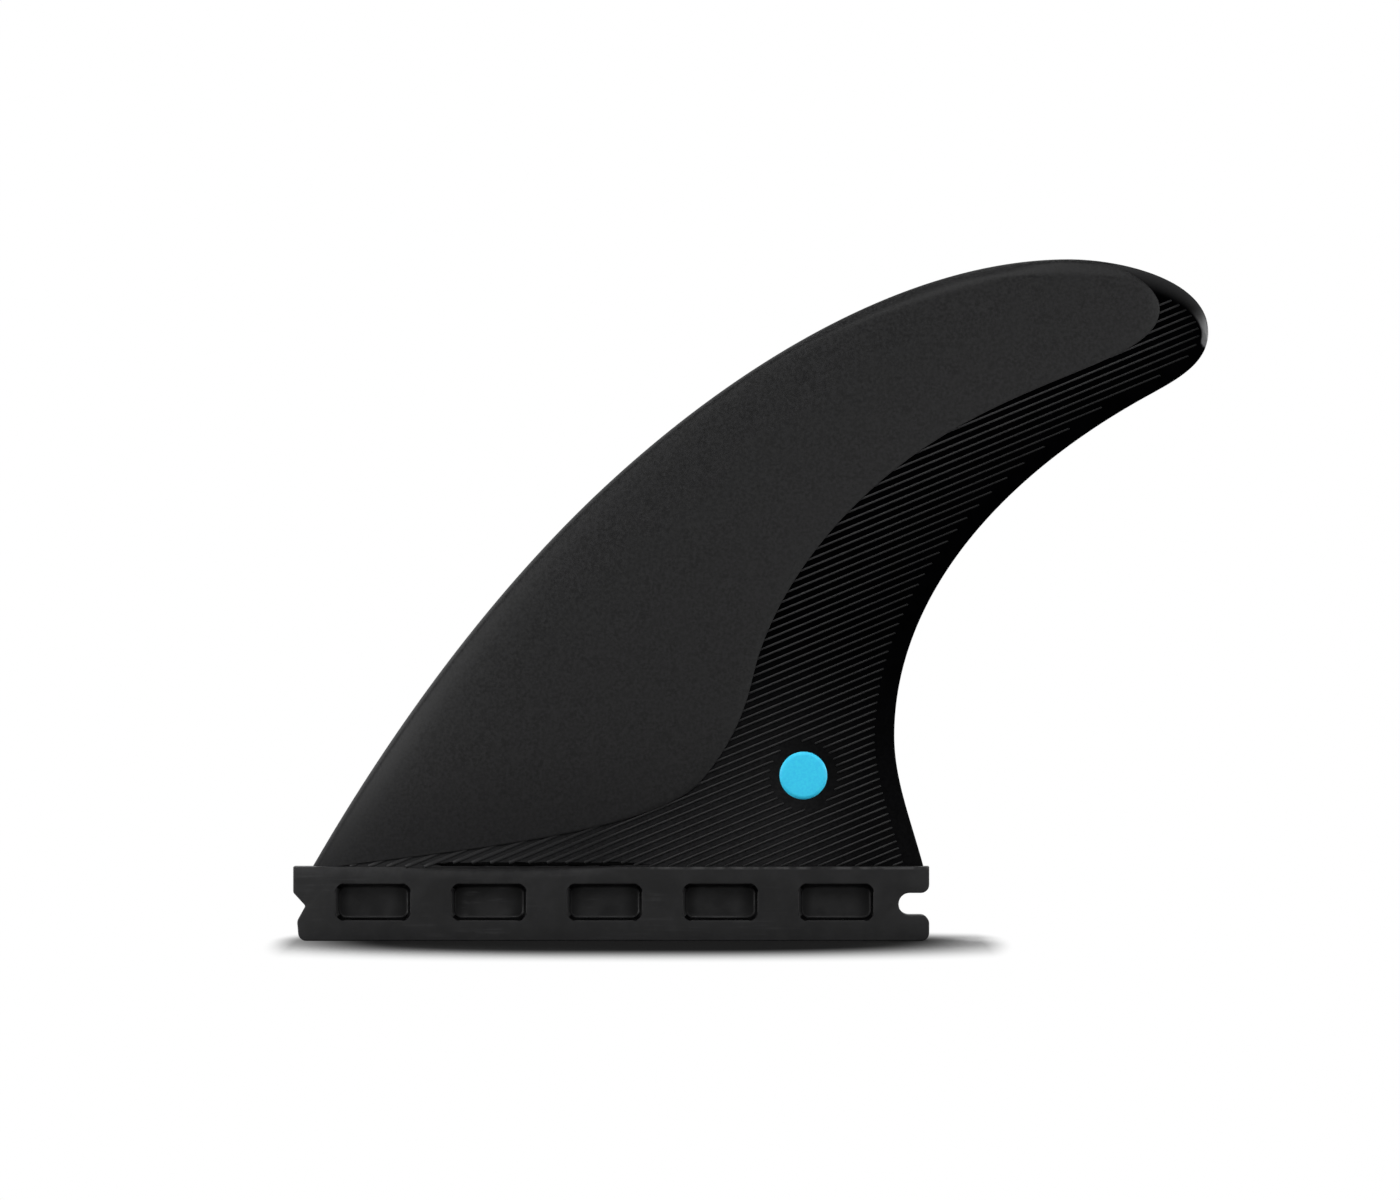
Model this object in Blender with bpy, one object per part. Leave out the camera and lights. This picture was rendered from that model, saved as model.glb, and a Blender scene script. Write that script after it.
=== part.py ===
"""Single-tab side fin for a surfboard, moulded in one piece.

Frame: the origin is at the middle of the tab's bottom face. +X runs from the leading edge to the
trailing edge, -Y is the foiled outer side, +Y the flat inner side and +Z the way up from the board.

The fin is a base tab that slides into a slot in the board, and a blade that is swept back over it.
The outer side carries a raised smooth panel along the leading edge. Behind the panel's edge the
surface lies lower and carries fine straight ribs, which stop at a smooth rim round the outline.
"""
import math

import bmesh
import bpy
import numpy as np
from mathutils import Matrix

MM = 0.001

# Tab
TAB_LENGTH = 114.3 * MM
TAB_THICKNESS = 6.35 * MM
TAB_DEPTH = 13.3 * MM
TAB_CORNER_RADIUS = 1.45 * MM
TAB_EDGE_CHAMFER = 0.25 * MM

# Notch in the tab's front end, where the set screw bears
NOTCH_LIP_HEIGHT = 8.7 * MM
NOTCH_APEX_HEIGHT = 6.3 * MM
NOTCH_DEPTH = 2.2 * MM
NOTCH_APEX_RADIUS = 0.4 * MM
NOTCH_CHIN_HEIGHT = 3.6 * MM
NOTCH_CHIN_SETBACK = 0.7 * MM
NOTCH_CHIN_RADIUS = 1.3 * MM
NOTCH_LIP_RADIUS = 0.6 * MM
NOTCH_FOOT_SETBACK = 1.0 * MM

# Slot in the tab's rear end, which hooks over the rod in the box
SLOT_WIDTH = 4.0 * MM
SLOT_HEIGHT = 6.62 * MM
SLOT_DEPTH = 5.5 * MM
SLOT_MOUTH_RADIUS = 1.5 * MM

# Cored pockets in both faces of the tab: the walls are set, and the pockets fill what they leave
POCKET_COUNT = 5
POCKET_FRONT_WALL = 7.65 * MM
POCKET_REAR_WALL = 4.55 * MM
POCKET_BRIDGE = 7.4 * MM
POCKET_FOOT_WALL = 3.7 * MM
POCKET_TOP_WALL = 3.05 * MM
POCKET_FLOOR_THICKNESS = 2.55 * MM
POCKET_DRAFT = 0.5 * MM
POCKET_CORNER_RADIUS = 1.5 * MM
POCKET_CORE_PROUD = 0.5 * MM

# Blade outline in the XZ plane: each place is measured from the one that carries it
BLADE_HEIGHT = 108.9 * MM
BASE_FRONT_INSET = 3.3 * MM
BASE_REAR_INSET = 0.9 * MM
FRONT_BASE_ANGLE = 59.9
FRONT_MIDDLE_FROM_BASE = (52.6 * MM, 68.2 * MM)
FRONT_MIDDLE_ANGLE = 42.9
TOP_RAKE = 25.6 * MM
NOSE_FROM_TOP = (25.1 * MM, -13.0 * MM)
STRAIGHT_FROM_NOSE = (-12.3 * MM, -12.2 * MM)
STRAIGHT_ANGLE = -150.5
WAIST_FROM_REAR_BASE = (-5.3 * MM, 23.6 * MM)
REAR_BASE_ANGLE = -74.6

# Fullness of each stretch of the outline: its handles as shares of the straight line across it
FRONT_LOWER_FULLNESS = (0.32, 0.33)
FRONT_UPPER_FULLNESS = (0.35, 0.31)
TIP_FULLNESS = (0.34, 0.33)
NOSE_FULLNESS = (0.35, 0.40)
REAR_UPPER_FULLNESS = (0.41, 0.32)
REAR_LOWER_FULLNESS = (0.32, 0.38)

# Blade thickness and lean
ROOT_THICKNESS = 7.05 * MM
TIP_THICKNESS = 2.5 * MM
EDGE_THICKNESS = 0.8 * MM
FRONT_EDGE_ROUND = 1.0 * MM
TIP_EDGE_ROUND = 3.6 * MM
TIP_ROUND_BELOW_TOP = 18.0 * MM
TIP_ROUND_GROWTH = 14.0 * MM
CANT_ANGLE = 6.5
FOIL_TERMS = ((0.5, 2.969), (1, -1.260), (2, -3.516), (3, 2.843), (4, -1.036))

# Raised panel: each place on its edge is set back from the outline's own
PANEL_STEP = 0.3 * MM
PANEL_WALL_SPREAD = 0.12 * MM
PANEL_BASE_SETBACK = 4.3 * MM
PANEL_BASE_ANGLE = 10.0
PANEL_HEEL_FROM_REAR_BASE = (-40.1 * MM, 15.6 * MM)
PANEL_HEEL_ANGLE = 50.0
PANEL_WAIST_FROM_WAIST = (-25.6 * MM, 10.6 * MM)
PANEL_WAIST_ANGLE = 77.0
PANEL_SHOULDER_FROM_STRAIGHT = (-39.0 * MM, -8.7 * MM)
PANEL_SHOULDER_ANGLE = 34.3
PANEL_TONGUE_FROM_NOSE = (-8.9 * MM, 4.1 * MM)
PANEL_END_BEHIND_TOP = 7.5 * MM
PANEL_END_MARGIN = 0.5 * MM
PANEL_END_ANGLE = 162.0
PANEL_SIDE_MARGIN = 1.5 * MM
PANEL_FADE_HEIGHT = 2.2 * MM
PANEL_BASE_FULLNESS = (0.208, 0.197)
PANEL_HEEL_FULLNESS = (0.433, 0.289)
PANEL_WAIST_FULLNESS = (0.338, 0.316)
PANEL_SHOULDER_FULLNESS = (0.510, 0.186)
PANEL_TONGUE_FULLNESS = (0.287, 0.394)

# Ribs and the smooth rim where they stop
RIB_PITCH = 1.29 * MM
RIB_ANGLE = 22.5
RIB_HEIGHT = 0.22 * MM
RIB_FOOT_WIDTH = 0.44 * MM
RIB_CREST_WIDTH = 0.18 * MM
RIB_ROOT = 0.3 * MM
RIB_BURY = 0.35 * MM
RIB_SHORTEST = 1.6 * MM
RIB_BASE_GAP = 0.3 * MM
RIM_AT_BASE = 3.45 * MM
RIM_AT_WAIST = 3.7 * MM
RIM_AT_STRAIGHT = 2.4 * MM
RIM_AT_NOSE = 1.7 * MM
RIM_AT_TOP = 4.5 * MM

# Round bare pad between the ribs
PAD_FROM_REAR_BASE = (-21.7 * MM, 16.4 * MM)
PAD_RADIUS = 6.2 * MM

# Fineness of the mesh
WELD_DISTANCE = 0.01 * MM
ARC_STEP = 15.0
CORNER_SEGMENTS = 4
SHARP_ANGLE = 35.0
FLAT_ANGLE = 0.5
CURVE_STEPS = 160
FOOT_ROW_SPACING = 0.5 * MM
FOOT_ROWS_UP_TO = 1.5 * MM
BASE_ROW_SPACING = 1.5 * MM
BASE_ROWS_UP_TO = 15.0 * MM
ROW_SPACING = 3.0 * MM
TIP_ROW_SPACING = 1.3 * MM
TIP_ROWS_BELOW_TOP = 26.0 * MM
TOP_DOME = 9.0 * MM
TOP_ROWS = 12
PANEL_COLUMNS = 9
PANEL_CROWDING = 2.4
FIELD_COLUMNS = 6
FIELD_CROWDING = 1.1
RIM_COLUMNS = 6
LEAST_RIBBED_SHARE = 0.4
EDGE_SHARE = 0.1
ARC_MIDDLE = 1.0 - math.sqrt(0.5)
RIB_STATION_SPACING = 7.0 * MM
RIB_SAMPLE_SPACING = 0.1 * MM

FIN_COLOUR = (0.023, 0.023, 0.025, 1.0)
FIN_ROUGHNESS = 0.45


def new_collection(name):
    """A collection of its own in the scene."""
    collection = bpy.data.collections.new(name)
    bpy.context.scene.collection.children.link(collection)
    return collection


def moulded_material():
    """The near-black compound that the whole fin is moulded in."""
    material = bpy.data.materials.new("moulded_compound")
    material.use_nodes = True
    shader = material.node_tree.nodes["Principled BSDF"]
    shader.inputs["Base Color"].default_value = FIN_COLOUR
    shader.inputs["Roughness"].default_value = FIN_ROUGHNESS
    shader.inputs["Metallic"].default_value = 0.0
    material.diffuse_color = FIN_COLOUR
    return material


def as_cutter(obj):
    """Show a helper solid as wire and keep it out of renders."""
    obj.hide_render = True
    obj.display_type = "WIRE"
    return obj


def object_from_bmesh(bm, name, collection):
    """Turn a bmesh into an object that sits at the origin."""
    mesh = bpy.data.meshes.new(name)
    bm.to_mesh(mesh)
    bm.free()
    obj = bpy.data.objects.new(name, mesh)
    collection.objects.link(obj)
    return obj


def add_boolean(obj, other, operation):
    """Combine another solid with this one."""
    modifier = obj.modifiers.new(f"{operation.lower()}_{other.name}", "BOOLEAN")
    modifier.operation = operation
    modifier.solver = "EXACT"
    modifier.object = other


def direction(angle):
    """The unit vector at an angle in degrees."""
    return np.array((math.cos(math.radians(angle)), math.sin(math.radians(angle))))


def measured_from(place, offset):
    """A place in the XZ plane, given as an offset from another."""
    return (place[0] + offset[0], place[1] + offset[1])


def rounded_corner(before, corner, after, radius):
    """Points of the arc that rounds one corner of an outline."""
    corner = np.array(corner)
    to_before = np.array(before) - corner
    to_after = np.array(after) - corner
    to_before /= np.linalg.norm(to_before)
    to_after /= np.linalg.norm(to_after)
    half = 0.5 * math.acos(float(np.clip(np.dot(to_before, to_after), -1.0, 1.0)))
    reach = radius / math.tan(half)
    middle = to_before + to_after
    centre = corner + middle / np.linalg.norm(middle) * radius / math.sin(half)
    start = corner + to_before * reach - centre
    sweep = math.pi - 2.0 * half
    turn = 1.0 if start[0] * to_before[1] - start[1] * to_before[0] < 0 else -1.0
    steps = max(2, round(math.degrees(sweep) / ARC_STEP))
    points = []
    for step in range(steps + 1):
        angle = turn * sweep * step / steps
        cosine, sine = math.cos(angle), math.sin(angle)
        points.append((centre[0] + start[0] * cosine - start[1] * sine,
                       centre[1] + start[0] * sine + start[1] * cosine))
    return points


def rounded_outline(corners):
    """A closed outline from corners given as x, z and radius."""
    points = []
    for index, (x, z, radius) in enumerate(corners):
        before = corners[index - 1][:2]
        after = corners[(index + 1) % len(corners)][:2]
        if radius > 0:
            points += rounded_corner(before, (x, z), after, radius)
        else:
            points.append((x, z))
    return points


def flat_solid(name, outline, thickness, collection):
    """A plate of even thickness from an outline in the XZ plane, as a closed mesh."""
    curve = bpy.data.curves.new(name, "CURVE")
    curve.dimensions = "2D"
    curve.fill_mode = "BOTH"
    curve.extrude = thickness / 2
    spline = curve.splines.new("POLY")
    spline.points.add(len(outline) - 1)
    for point, (x, z) in zip(spline.points, outline):
        point.co = (x, z, 0.0, 1.0)
    spline.use_cyclic_u = True
    drawn = bpy.data.objects.new(name + "_outline", curve)
    collection.objects.link(drawn)
    evaluated = drawn.evaluated_get(bpy.context.evaluated_depsgraph_get())
    mesh = bpy.data.meshes.new_from_object(evaluated)
    bpy.data.objects.remove(drawn)
    upright = Matrix(((1, 0, 0, 0), (0, 0, -1, 0), (0, 1, 0, 0), (0, 0, 0, 1)))
    bm = bmesh.new()
    bm.from_mesh(mesh)
    bpy.data.meshes.remove(mesh)
    bmesh.ops.transform(bm, matrix=upright, verts=bm.verts)
    bmesh.ops.remove_doubles(bm, verts=bm.verts, dist=WELD_DISTANCE)
    bmesh.ops.dissolve_limit(bm, angle_limit=math.radians(FLAT_ANGLE), verts=bm.verts,
                             edges=bm.edges)
    bmesh.ops.recalc_face_normals(bm, faces=bm.faces)
    return bm


def tab_outline():
    """The tab seen from the side, with its front notch and rear slot."""
    front = -TAB_LENGTH / 2
    rear = TAB_LENGTH / 2
    slot_top = SLOT_HEIGHT + SLOT_WIDTH / 2
    slot_bottom = SLOT_HEIGHT - SLOT_WIDTH / 2
    slot_end = rear - SLOT_DEPTH
    slot_round = SLOT_WIDTH / 2 - WELD_DISTANCE / 2
    return rounded_outline([
        (front, TAB_DEPTH, 0.0),
        (front, NOTCH_LIP_HEIGHT, NOTCH_LIP_RADIUS),
        (front + NOTCH_DEPTH, NOTCH_APEX_HEIGHT, NOTCH_APEX_RADIUS),
        (front + NOTCH_CHIN_SETBACK, NOTCH_CHIN_HEIGHT, NOTCH_CHIN_RADIUS),
        (front + NOTCH_FOOT_SETBACK, 0.0, TAB_CORNER_RADIUS),
        (rear, 0.0, TAB_CORNER_RADIUS),
        (rear, slot_bottom, SLOT_MOUTH_RADIUS),
        (slot_end, slot_bottom, slot_round),
        (slot_end, slot_top, slot_round),
        (rear, slot_top, SLOT_MOUTH_RADIUS),
        (rear, TAB_DEPTH, 0.0),
    ])


def make_tab(collection):
    """The base tab, with its edges broken except along the top, where the blade stands."""
    bm = flat_solid("fin", tab_outline(), TAB_THICKNESS, collection)
    rim = [edge for edge in bm.edges
           if edge.calc_face_angle() > math.radians(90 - SHARP_ANGLE)
           and abs(edge.verts[0].co.y - edge.verts[1].co.y) < WELD_DISTANCE
           and min(vert.co.z for vert in edge.verts) < TAB_DEPTH - WELD_DISTANCE]
    bmesh.ops.bevel(bm, geom=rim, offset=TAB_EDGE_CHAMFER, offset_type="OFFSET", segments=1,
                    profile=0.5, affect="EDGES", material=-1)
    return object_from_bmesh(bm, "fin", collection)


def add_pocket_core(bm, place, size, draft):
    """One tapered core with rounded upright corners, its small end towards the tab's middle."""
    cube = bmesh.ops.create_cube(bm, size=1.0)["verts"]
    edges = {edge for vert in cube for edge in vert.link_edges}
    through = [edge for edge in edges if edge.verts[0].co.y * edge.verts[1].co.y < 0]
    bmesh.ops.scale(bm, vec=size, verts=cube)
    cut = bmesh.ops.bevel(bm, geom=through, offset=POCKET_CORNER_RADIUS, offset_type="OFFSET",
                          segments=CORNER_SEGMENTS, profile=0.5, affect="EDGES", material=-1)
    core = list({vert for vert in cube if vert.is_valid} | set(cut["verts"]))
    small_end = [vert for vert in core if vert.co.y * place[1] < 0]
    shrink = (1 - 2 * draft / size[0], 1.0, 1 - 2 * draft / size[2])
    bmesh.ops.scale(bm, vec=shrink, verts=small_end)
    bmesh.ops.translate(bm, vec=place, verts=core)


def make_pocket_cores(collection):
    """Tapered cores that leave the pockets, in one row on each face of the tab."""
    row_start = -TAB_LENGTH / 2 + POCKET_FRONT_WALL
    row_end = TAB_LENGTH / 2 - SLOT_DEPTH - POCKET_REAR_WALL
    length = (row_end - row_start - (POCKET_COUNT - 1) * POCKET_BRIDGE) / POCKET_COUNT
    width = TAB_DEPTH - POCKET_TOP_WALL - POCKET_FOOT_WALL
    depth = (TAB_THICKNESS - POCKET_FLOOR_THICKNESS) / 2
    flare = POCKET_DRAFT / depth * POCKET_CORE_PROUD
    size = (length + 2 * flare, depth + POCKET_CORE_PROUD, width + 2 * flare)
    middle_y = (POCKET_FLOOR_THICKNESS + size[1]) / 2
    middle_z = POCKET_FOOT_WALL + width / 2
    bm = bmesh.new()
    for number in range(POCKET_COUNT):
        middle_x = row_start + length / 2 + number * (length + POCKET_BRIDGE)
        for side in (-1, 1):
            place = (middle_x, side * middle_y, middle_z)
            add_pocket_core(bm, place, size, POCKET_DRAFT + flare)
    return as_cutter(object_from_bmesh(bm, "pocket_cores", collection))


def swept_curve(start, start_angle, end, end_angle, fullness):
    """Points of one cubic curve, given its ends, their headings in degrees and its fullness."""
    start = np.array(start)
    end = np.array(end)
    straight = np.linalg.norm(end - start)
    leaving = start + fullness[0] * straight * direction(start_angle)
    arriving = end - fullness[1] * straight * direction(end_angle)
    share = np.linspace(0.0, 1.0, CURVE_STEPS)[:, None]
    rest = 1.0 - share
    return (rest ** 3 * start + 3 * rest ** 2 * share * leaving
            + 3 * rest * share ** 2 * arriving + share ** 3 * end)


def joined(*pieces):
    """Curve pieces end to end, without the doubled point at each joint."""
    return np.concatenate([pieces[0]] + [piece[1:] for piece in pieces[1:]])


def distance_to(points, line):
    """Distance from each point to a line of short straight pieces."""
    start = line[:-1]
    along = line[1:] - start
    offset = points[:, None, :] - start[None, :, :]
    share = (offset * along).sum(axis=2) / (along ** 2).sum(axis=1)
    nearest = offset - np.clip(share, 0.0, 1.0)[:, :, None] * along
    return np.sqrt((nearest ** 2).sum(axis=2)).min(axis=1)


def smooth_step(value, low, high):
    """Rise from 0 to 1 between two values, level at both ends."""
    share = np.clip((value - low) / (high - low), 0.0, 1.0)
    return share * share * (3.0 - 2.0 * share)


def quarter_round(distance, radius):
    """Height of a rounded edge: 0 at the edge and 1 from one radius inwards."""
    share = np.clip(distance / radius, 0.0, 1.0)
    return np.sqrt(1.0 - (1.0 - share) ** 2)


def foil_shape(share):
    """Thickness along a classic streamlined section, as a share of its greatest thickness."""
    return sum(factor * share ** power for power, factor in FOIL_TERMS)


class Blade:
    """The blade's outline, panel edge and outer surface, as functions of place."""

    def __init__(self):
        front_base = (-TAB_LENGTH / 2 + BASE_FRONT_INSET, 0.0)
        rear_base = (TAB_LENGTH / 2 - BASE_REAR_INSET, 0.0)
        middle = measured_from(front_base, FRONT_MIDDLE_FROM_BASE)
        self.top = (rear_base[0] + TOP_RAKE, BLADE_HEIGHT)
        self.nose = measured_from(self.top, NOSE_FROM_TOP)
        self.straight = measured_from(self.nose, STRAIGHT_FROM_NOSE)
        self.waist = measured_from(rear_base, WAIST_FROM_REAR_BASE)
        self.pad = measured_from(rear_base, PAD_FROM_REAR_BASE)
        self.front = joined(
            swept_curve(front_base, FRONT_BASE_ANGLE, middle, FRONT_MIDDLE_ANGLE,
                        FRONT_LOWER_FULLNESS),
            swept_curve(middle, FRONT_MIDDLE_ANGLE, self.top, 0.0, FRONT_UPPER_FULLNESS))
        tip = swept_curve(self.top, 0.0, self.nose, -90.0, TIP_FULLNESS)
        self.trailing = joined(
            swept_curve(self.nose, -90.0, self.straight, STRAIGHT_ANGLE, NOSE_FULLNESS),
            swept_curve(self.straight, STRAIGHT_ANGLE, self.waist, -90.0, REAR_UPPER_FULLNESS),
            swept_curve(self.waist, -90.0, rear_base, REAR_BASE_ANGLE, REAR_LOWER_FULLNESS))
        self.leading = joined(self.front, tip)
        self.rear = joined(tip, self.trailing)
        self.panel = self.panel_edge(front_base, rear_base, tip)

    def panel_edge(self, front_base, rear_base, tip):
        """The raised panel's rear edge, from the base up and over its rounded tongue."""
        base = measured_from(front_base, (PANEL_BASE_SETBACK, 0.0))
        heel = measured_from(rear_base, PANEL_HEEL_FROM_REAR_BASE)
        waist = measured_from(self.waist, PANEL_WAIST_FROM_WAIST)
        shoulder = measured_from(self.straight, PANEL_SHOULDER_FROM_STRAIGHT)
        tongue = measured_from(self.nose, PANEL_TONGUE_FROM_NOSE)
        end_x = self.top[0] + PANEL_END_BEHIND_TOP
        end = (end_x, float(np.interp(end_x, tip[:, 0], tip[:, 1])) - PANEL_END_MARGIN)
        return joined(
            swept_curve(base, PANEL_BASE_ANGLE, heel, PANEL_HEEL_ANGLE, PANEL_BASE_FULLNESS),
            swept_curve(heel, PANEL_HEEL_ANGLE, waist, PANEL_WAIST_ANGLE, PANEL_HEEL_FULLNESS),
            swept_curve(waist, PANEL_WAIST_ANGLE, shoulder, PANEL_SHOULDER_ANGLE,
                        PANEL_WAIST_FULLNESS),
            swept_curve(shoulder, PANEL_SHOULDER_ANGLE, tongue, 90.0, PANEL_SHOULDER_FULLNESS),
            swept_curve(tongue, 90.0, end, PANEL_END_ANGLE, PANEL_TONGUE_FULLNESS))

    def front_x(self, height):
        """Where the leading edge is at a height above the tab."""
        return np.interp(height, self.front[:, 1], self.front[:, 0])

    def rear_x(self, height):
        """Where the tip or the trailing edge is at a height above the tab."""
        return np.interp(height, self.rear[::-1, 1], self.rear[::-1, 0])

    def panel_x(self, height):
        """Where the panel ends at a height above the tab, always between the blade's edges."""
        front_x = self.front_x(height)
        rear_x = self.rear_x(height)
        margin = np.minimum(PANEL_SIDE_MARGIN, (rear_x - front_x) / 5)
        edge = np.interp(height, self.panel[:, 1], self.panel[:, 0])
        return np.clip(edge, front_x + margin, rear_x - margin)

    def outer_offset(self, points, on_panel):
        """How far the outer surface stands off the flat inner side, at places in the XZ plane."""
        height = points[:, 1]
        front_x = self.front_x(height)
        across = np.maximum(self.rear_x(height) - front_x, WELD_DISTANCE)
        share = np.clip((points[:, 0] - front_x) / across, 0.0, 1.0)
        deepest = ROOT_THICKNESS + (TIP_THICKNESS - ROOT_THICKNESS) * height / BLADE_HEIGHT
        body = EDGE_THICKNESS / 2 + (deepest - EDGE_THICKNESS) * foil_shape(share)
        panel_end = self.panel[-1, 1]
        fade = 1.0 - smooth_step(height, panel_end - PANEL_FADE_HEIGHT, panel_end)
        body = body + PANEL_STEP * fade * on_panel
        low = BLADE_HEIGHT - TIP_ROUND_BELOW_TOP
        growth = smooth_step(height, low, low + TIP_ROUND_GROWTH)
        front_round = FRONT_EDGE_ROUND + (TIP_EDGE_ROUND - FRONT_EDGE_ROUND) * growth
        closing = (quarter_round(distance_to(points, self.leading), front_round)
                   * quarter_round(distance_to(points, self.trailing), EDGE_THICKNESS / 2))
        return EDGE_THICKNESS / 2 + body * closing

    def inner_offset(self, points):
        """How far the inner side's rounded edge lies in from the flat inner side."""
        nearest = np.minimum(distance_to(points, self.leading), distance_to(points, self.trailing))
        return EDGE_THICKNESS / 2 * (1.0 - quarter_round(nearest, EDGE_THICKNESS / 2))

    def rim_width(self, height):
        """Width of the smooth rim behind the ribs' ends."""
        heights = (0.0, self.waist[1], self.straight[1], self.nose[1], self.top[1])
        widths = (RIM_AT_BASE, RIM_AT_WAIST, RIM_AT_STRAIGHT, RIM_AT_NOSE, RIM_AT_TOP)
        return np.interp(height, heights, widths)

    def carries_ribs(self, points):
        """Whether places in the XZ plane lie in the ribbed field."""
        height = points[:, 1]
        in_field = points[:, 0] > self.panel_x(height) - RIB_BURY
        off_base = (height > RIB_BASE_GAP) & (height < BLADE_HEIGHT)
        off_rim = distance_to(points, self.rear) > self.rim_width(height)
        off_rim &= points[:, 0] < self.rear_x(height)
        off_pad = np.hypot(points[:, 0] - self.pad[0], points[:, 1] - self.pad[1]) > PAD_RADIUS
        return in_field & off_base & off_rim & off_pad


def flat_side_y(height):
    """The inner side's plane, which leans outward with height."""
    return TAB_THICKNESS / 2 - height * math.tan(math.radians(CANT_ANGLE))


def row_heights():
    """Heights of the blade's sections, closer at the base and towards the top."""
    tip_start = BLADE_HEIGHT - TIP_ROWS_BELOW_TOP
    dome_start = BLADE_HEIGHT - TOP_DOME
    zones = ((0.0, FOOT_ROWS_UP_TO, FOOT_ROW_SPACING),
             (FOOT_ROWS_UP_TO, BASE_ROWS_UP_TO, BASE_ROW_SPACING),
             (BASE_ROWS_UP_TO, tip_start, ROW_SPACING),
             (tip_start, dome_start, TIP_ROW_SPACING))
    rows = [np.linspace(low, high, max(2, round((high - low) / spacing)), endpoint=False)
            for low, high, spacing in zones]
    share = np.linspace(1.0, 0.0, TOP_ROWS, endpoint=False)
    rows.append(BLADE_HEIGHT - TOP_DOME * share ** 2)
    return np.concatenate(rows)


def inner_round_width(edge_x, height, across):
    """Width, along a section, of an inner edge's rounding: wider where the edge lies flatter."""
    step = min(FOOT_ROW_SPACING, BLADE_HEIGHT - height) / 4
    slope = (float(edge_x(height + step)) - float(edge_x(height - step))) / (2 * step)
    return min((1 + EDGE_SHARE) * EDGE_THICKNESS / 2 * math.hypot(1.0, slope), across / 4)


def field_shares(field, rim, height):
    """Columns behind the panel: evenly spread at the base, and higher up some kept to the rim."""
    columns = FIELD_COLUMNS + RIM_COLUMNS
    spread = (np.arange(columns) / columns) ** FIELD_CROWDING
    ribbed = max(LEAST_RIBBED_SHARE, 1.0 - rim / field)
    ahead = np.linspace(0.0, ribbed, FIELD_COLUMNS, endpoint=False)
    behind = np.linspace(ribbed, 1.0, RIM_COLUMNS, endpoint=False)
    blend = smooth_step(height, 0.0, BASE_ROWS_UP_TO)
    return spread + (np.concatenate((ahead, behind)) - spread) * blend


def section(blade, height):
    """One closed section of the blade: outer side from front to rear, then back along the inner."""
    front = float(blade.front_x(height))
    rear = float(blade.rear_x(height))
    panel = float(blade.panel_x(height))
    wall = min(PANEL_WALL_SPREAD, EDGE_SHARE * (rear - panel))
    field = rear - panel - wall
    near_edge = min(EDGE_THICKNESS / 2, EDGE_SHARE * field)
    panel_share = np.linspace(0.0, 1.0, PANEL_COLUMNS + 1) ** PANEL_CROWDING
    field_share = field_shares(field, float(blade.rim_width(height)), height)
    on_panel = front + (panel - front) * panel_share
    on_field = panel + wall + (field - near_edge) * field_share
    at_rear = np.array((rear - near_edge, rear - ARC_MIDDLE * near_edge))
    outer_x = np.concatenate((on_panel, on_field, at_rear))
    outer = np.stack((outer_x, np.full_like(outer_x, height)), axis=1)
    raised = np.zeros(len(outer_x))
    raised[:len(on_panel)] = 1.0
    outer_y = flat_side_y(height) - blade.outer_offset(outer, raised)
    rear_width = inner_round_width(blade.rear_x, height, rear - front)
    front_width = inner_round_width(blade.front_x, height, rear - front)
    inner_x = np.array((rear - ARC_MIDDLE * rear_width, rear - rear_width,
                        front + front_width, front + ARC_MIDDLE * front_width))
    inner = np.stack((inner_x, np.full_like(inner_x, height)), axis=1)
    inner_y = flat_side_y(height) - blade.inner_offset(inner)
    edge_y = flat_side_y(height) - EDGE_THICKNESS / 2
    outer_y[0] = edge_y
    return [*zip(outer_x, outer_y), (rear, edge_y), *zip(inner_x, inner_y)]


def make_blade(blade, collection):
    """The blade, lofted through its sections and closed at the top."""
    bm = bmesh.new()
    rings = []
    for height in row_heights():
        z = TAB_DEPTH + float(height)
        rings.append([bm.verts.new((x, y, z)) for x, y in section(blade, float(height))])
    top_y = flat_side_y(BLADE_HEIGHT) - EDGE_THICKNESS / 2
    pole = bm.verts.new((blade.top[0], top_y, TAB_DEPTH + BLADE_HEIGHT))
    count = len(rings[0])
    inner_side = count - 3
    for below, above in zip(rings, rings[1:]):
        for index in range(count):
            after = (index + 1) % count
            face = bm.faces.new((below[index], below[after], above[after], above[index]))
            face.smooth = index != inner_side
    for index in range(count):
        bm.faces.new((rings[-1][index], rings[-1][(index + 1) % count], pole))
    bm.faces.new(rings[0])
    walls = [face for face in bm.faces if len(face.verts) == 4]
    bmesh.ops.triangulate(bm, faces=walls, quad_method="SHORT_EDGE")
    bmesh.ops.recalc_face_normals(bm, faces=bm.faces)
    obj = object_from_bmesh(bm, "blade", collection)
    obj.data.set_sharp_from_angle(angle=math.radians(SHARP_ANGLE))
    return as_cutter(obj)


def rib_runs(blade):
    """Ends of every straight rib, found along parallel lines across the ribbed field."""
    along = direction(RIB_ANGLE)
    across = direction(RIB_ANGLE + 90)
    outline = np.concatenate((blade.leading, blade.trailing))
    low, high = (outline @ across).min(), (outline @ across).max()
    reach_low, reach_high = (outline @ along).min(), (outline @ along).max()
    places = np.arange(reach_low, reach_high, RIB_SAMPLE_SPACING)
    runs = []
    for number in range(math.ceil(low / RIB_PITCH), math.floor(high / RIB_PITCH) + 1):
        line = across * number * RIB_PITCH + places[:, None] * along
        inside = blade.carries_ribs(line).astype(int)
        turns = np.flatnonzero(np.diff(np.concatenate(([0], inside, [0]))))
        for first, last in zip(turns[::2], turns[1::2]):
            if (last - 1 - first) * RIB_SAMPLE_SPACING > RIB_SHORTEST:
                runs.append((line[first], line[last - 1]))
    return runs


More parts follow.
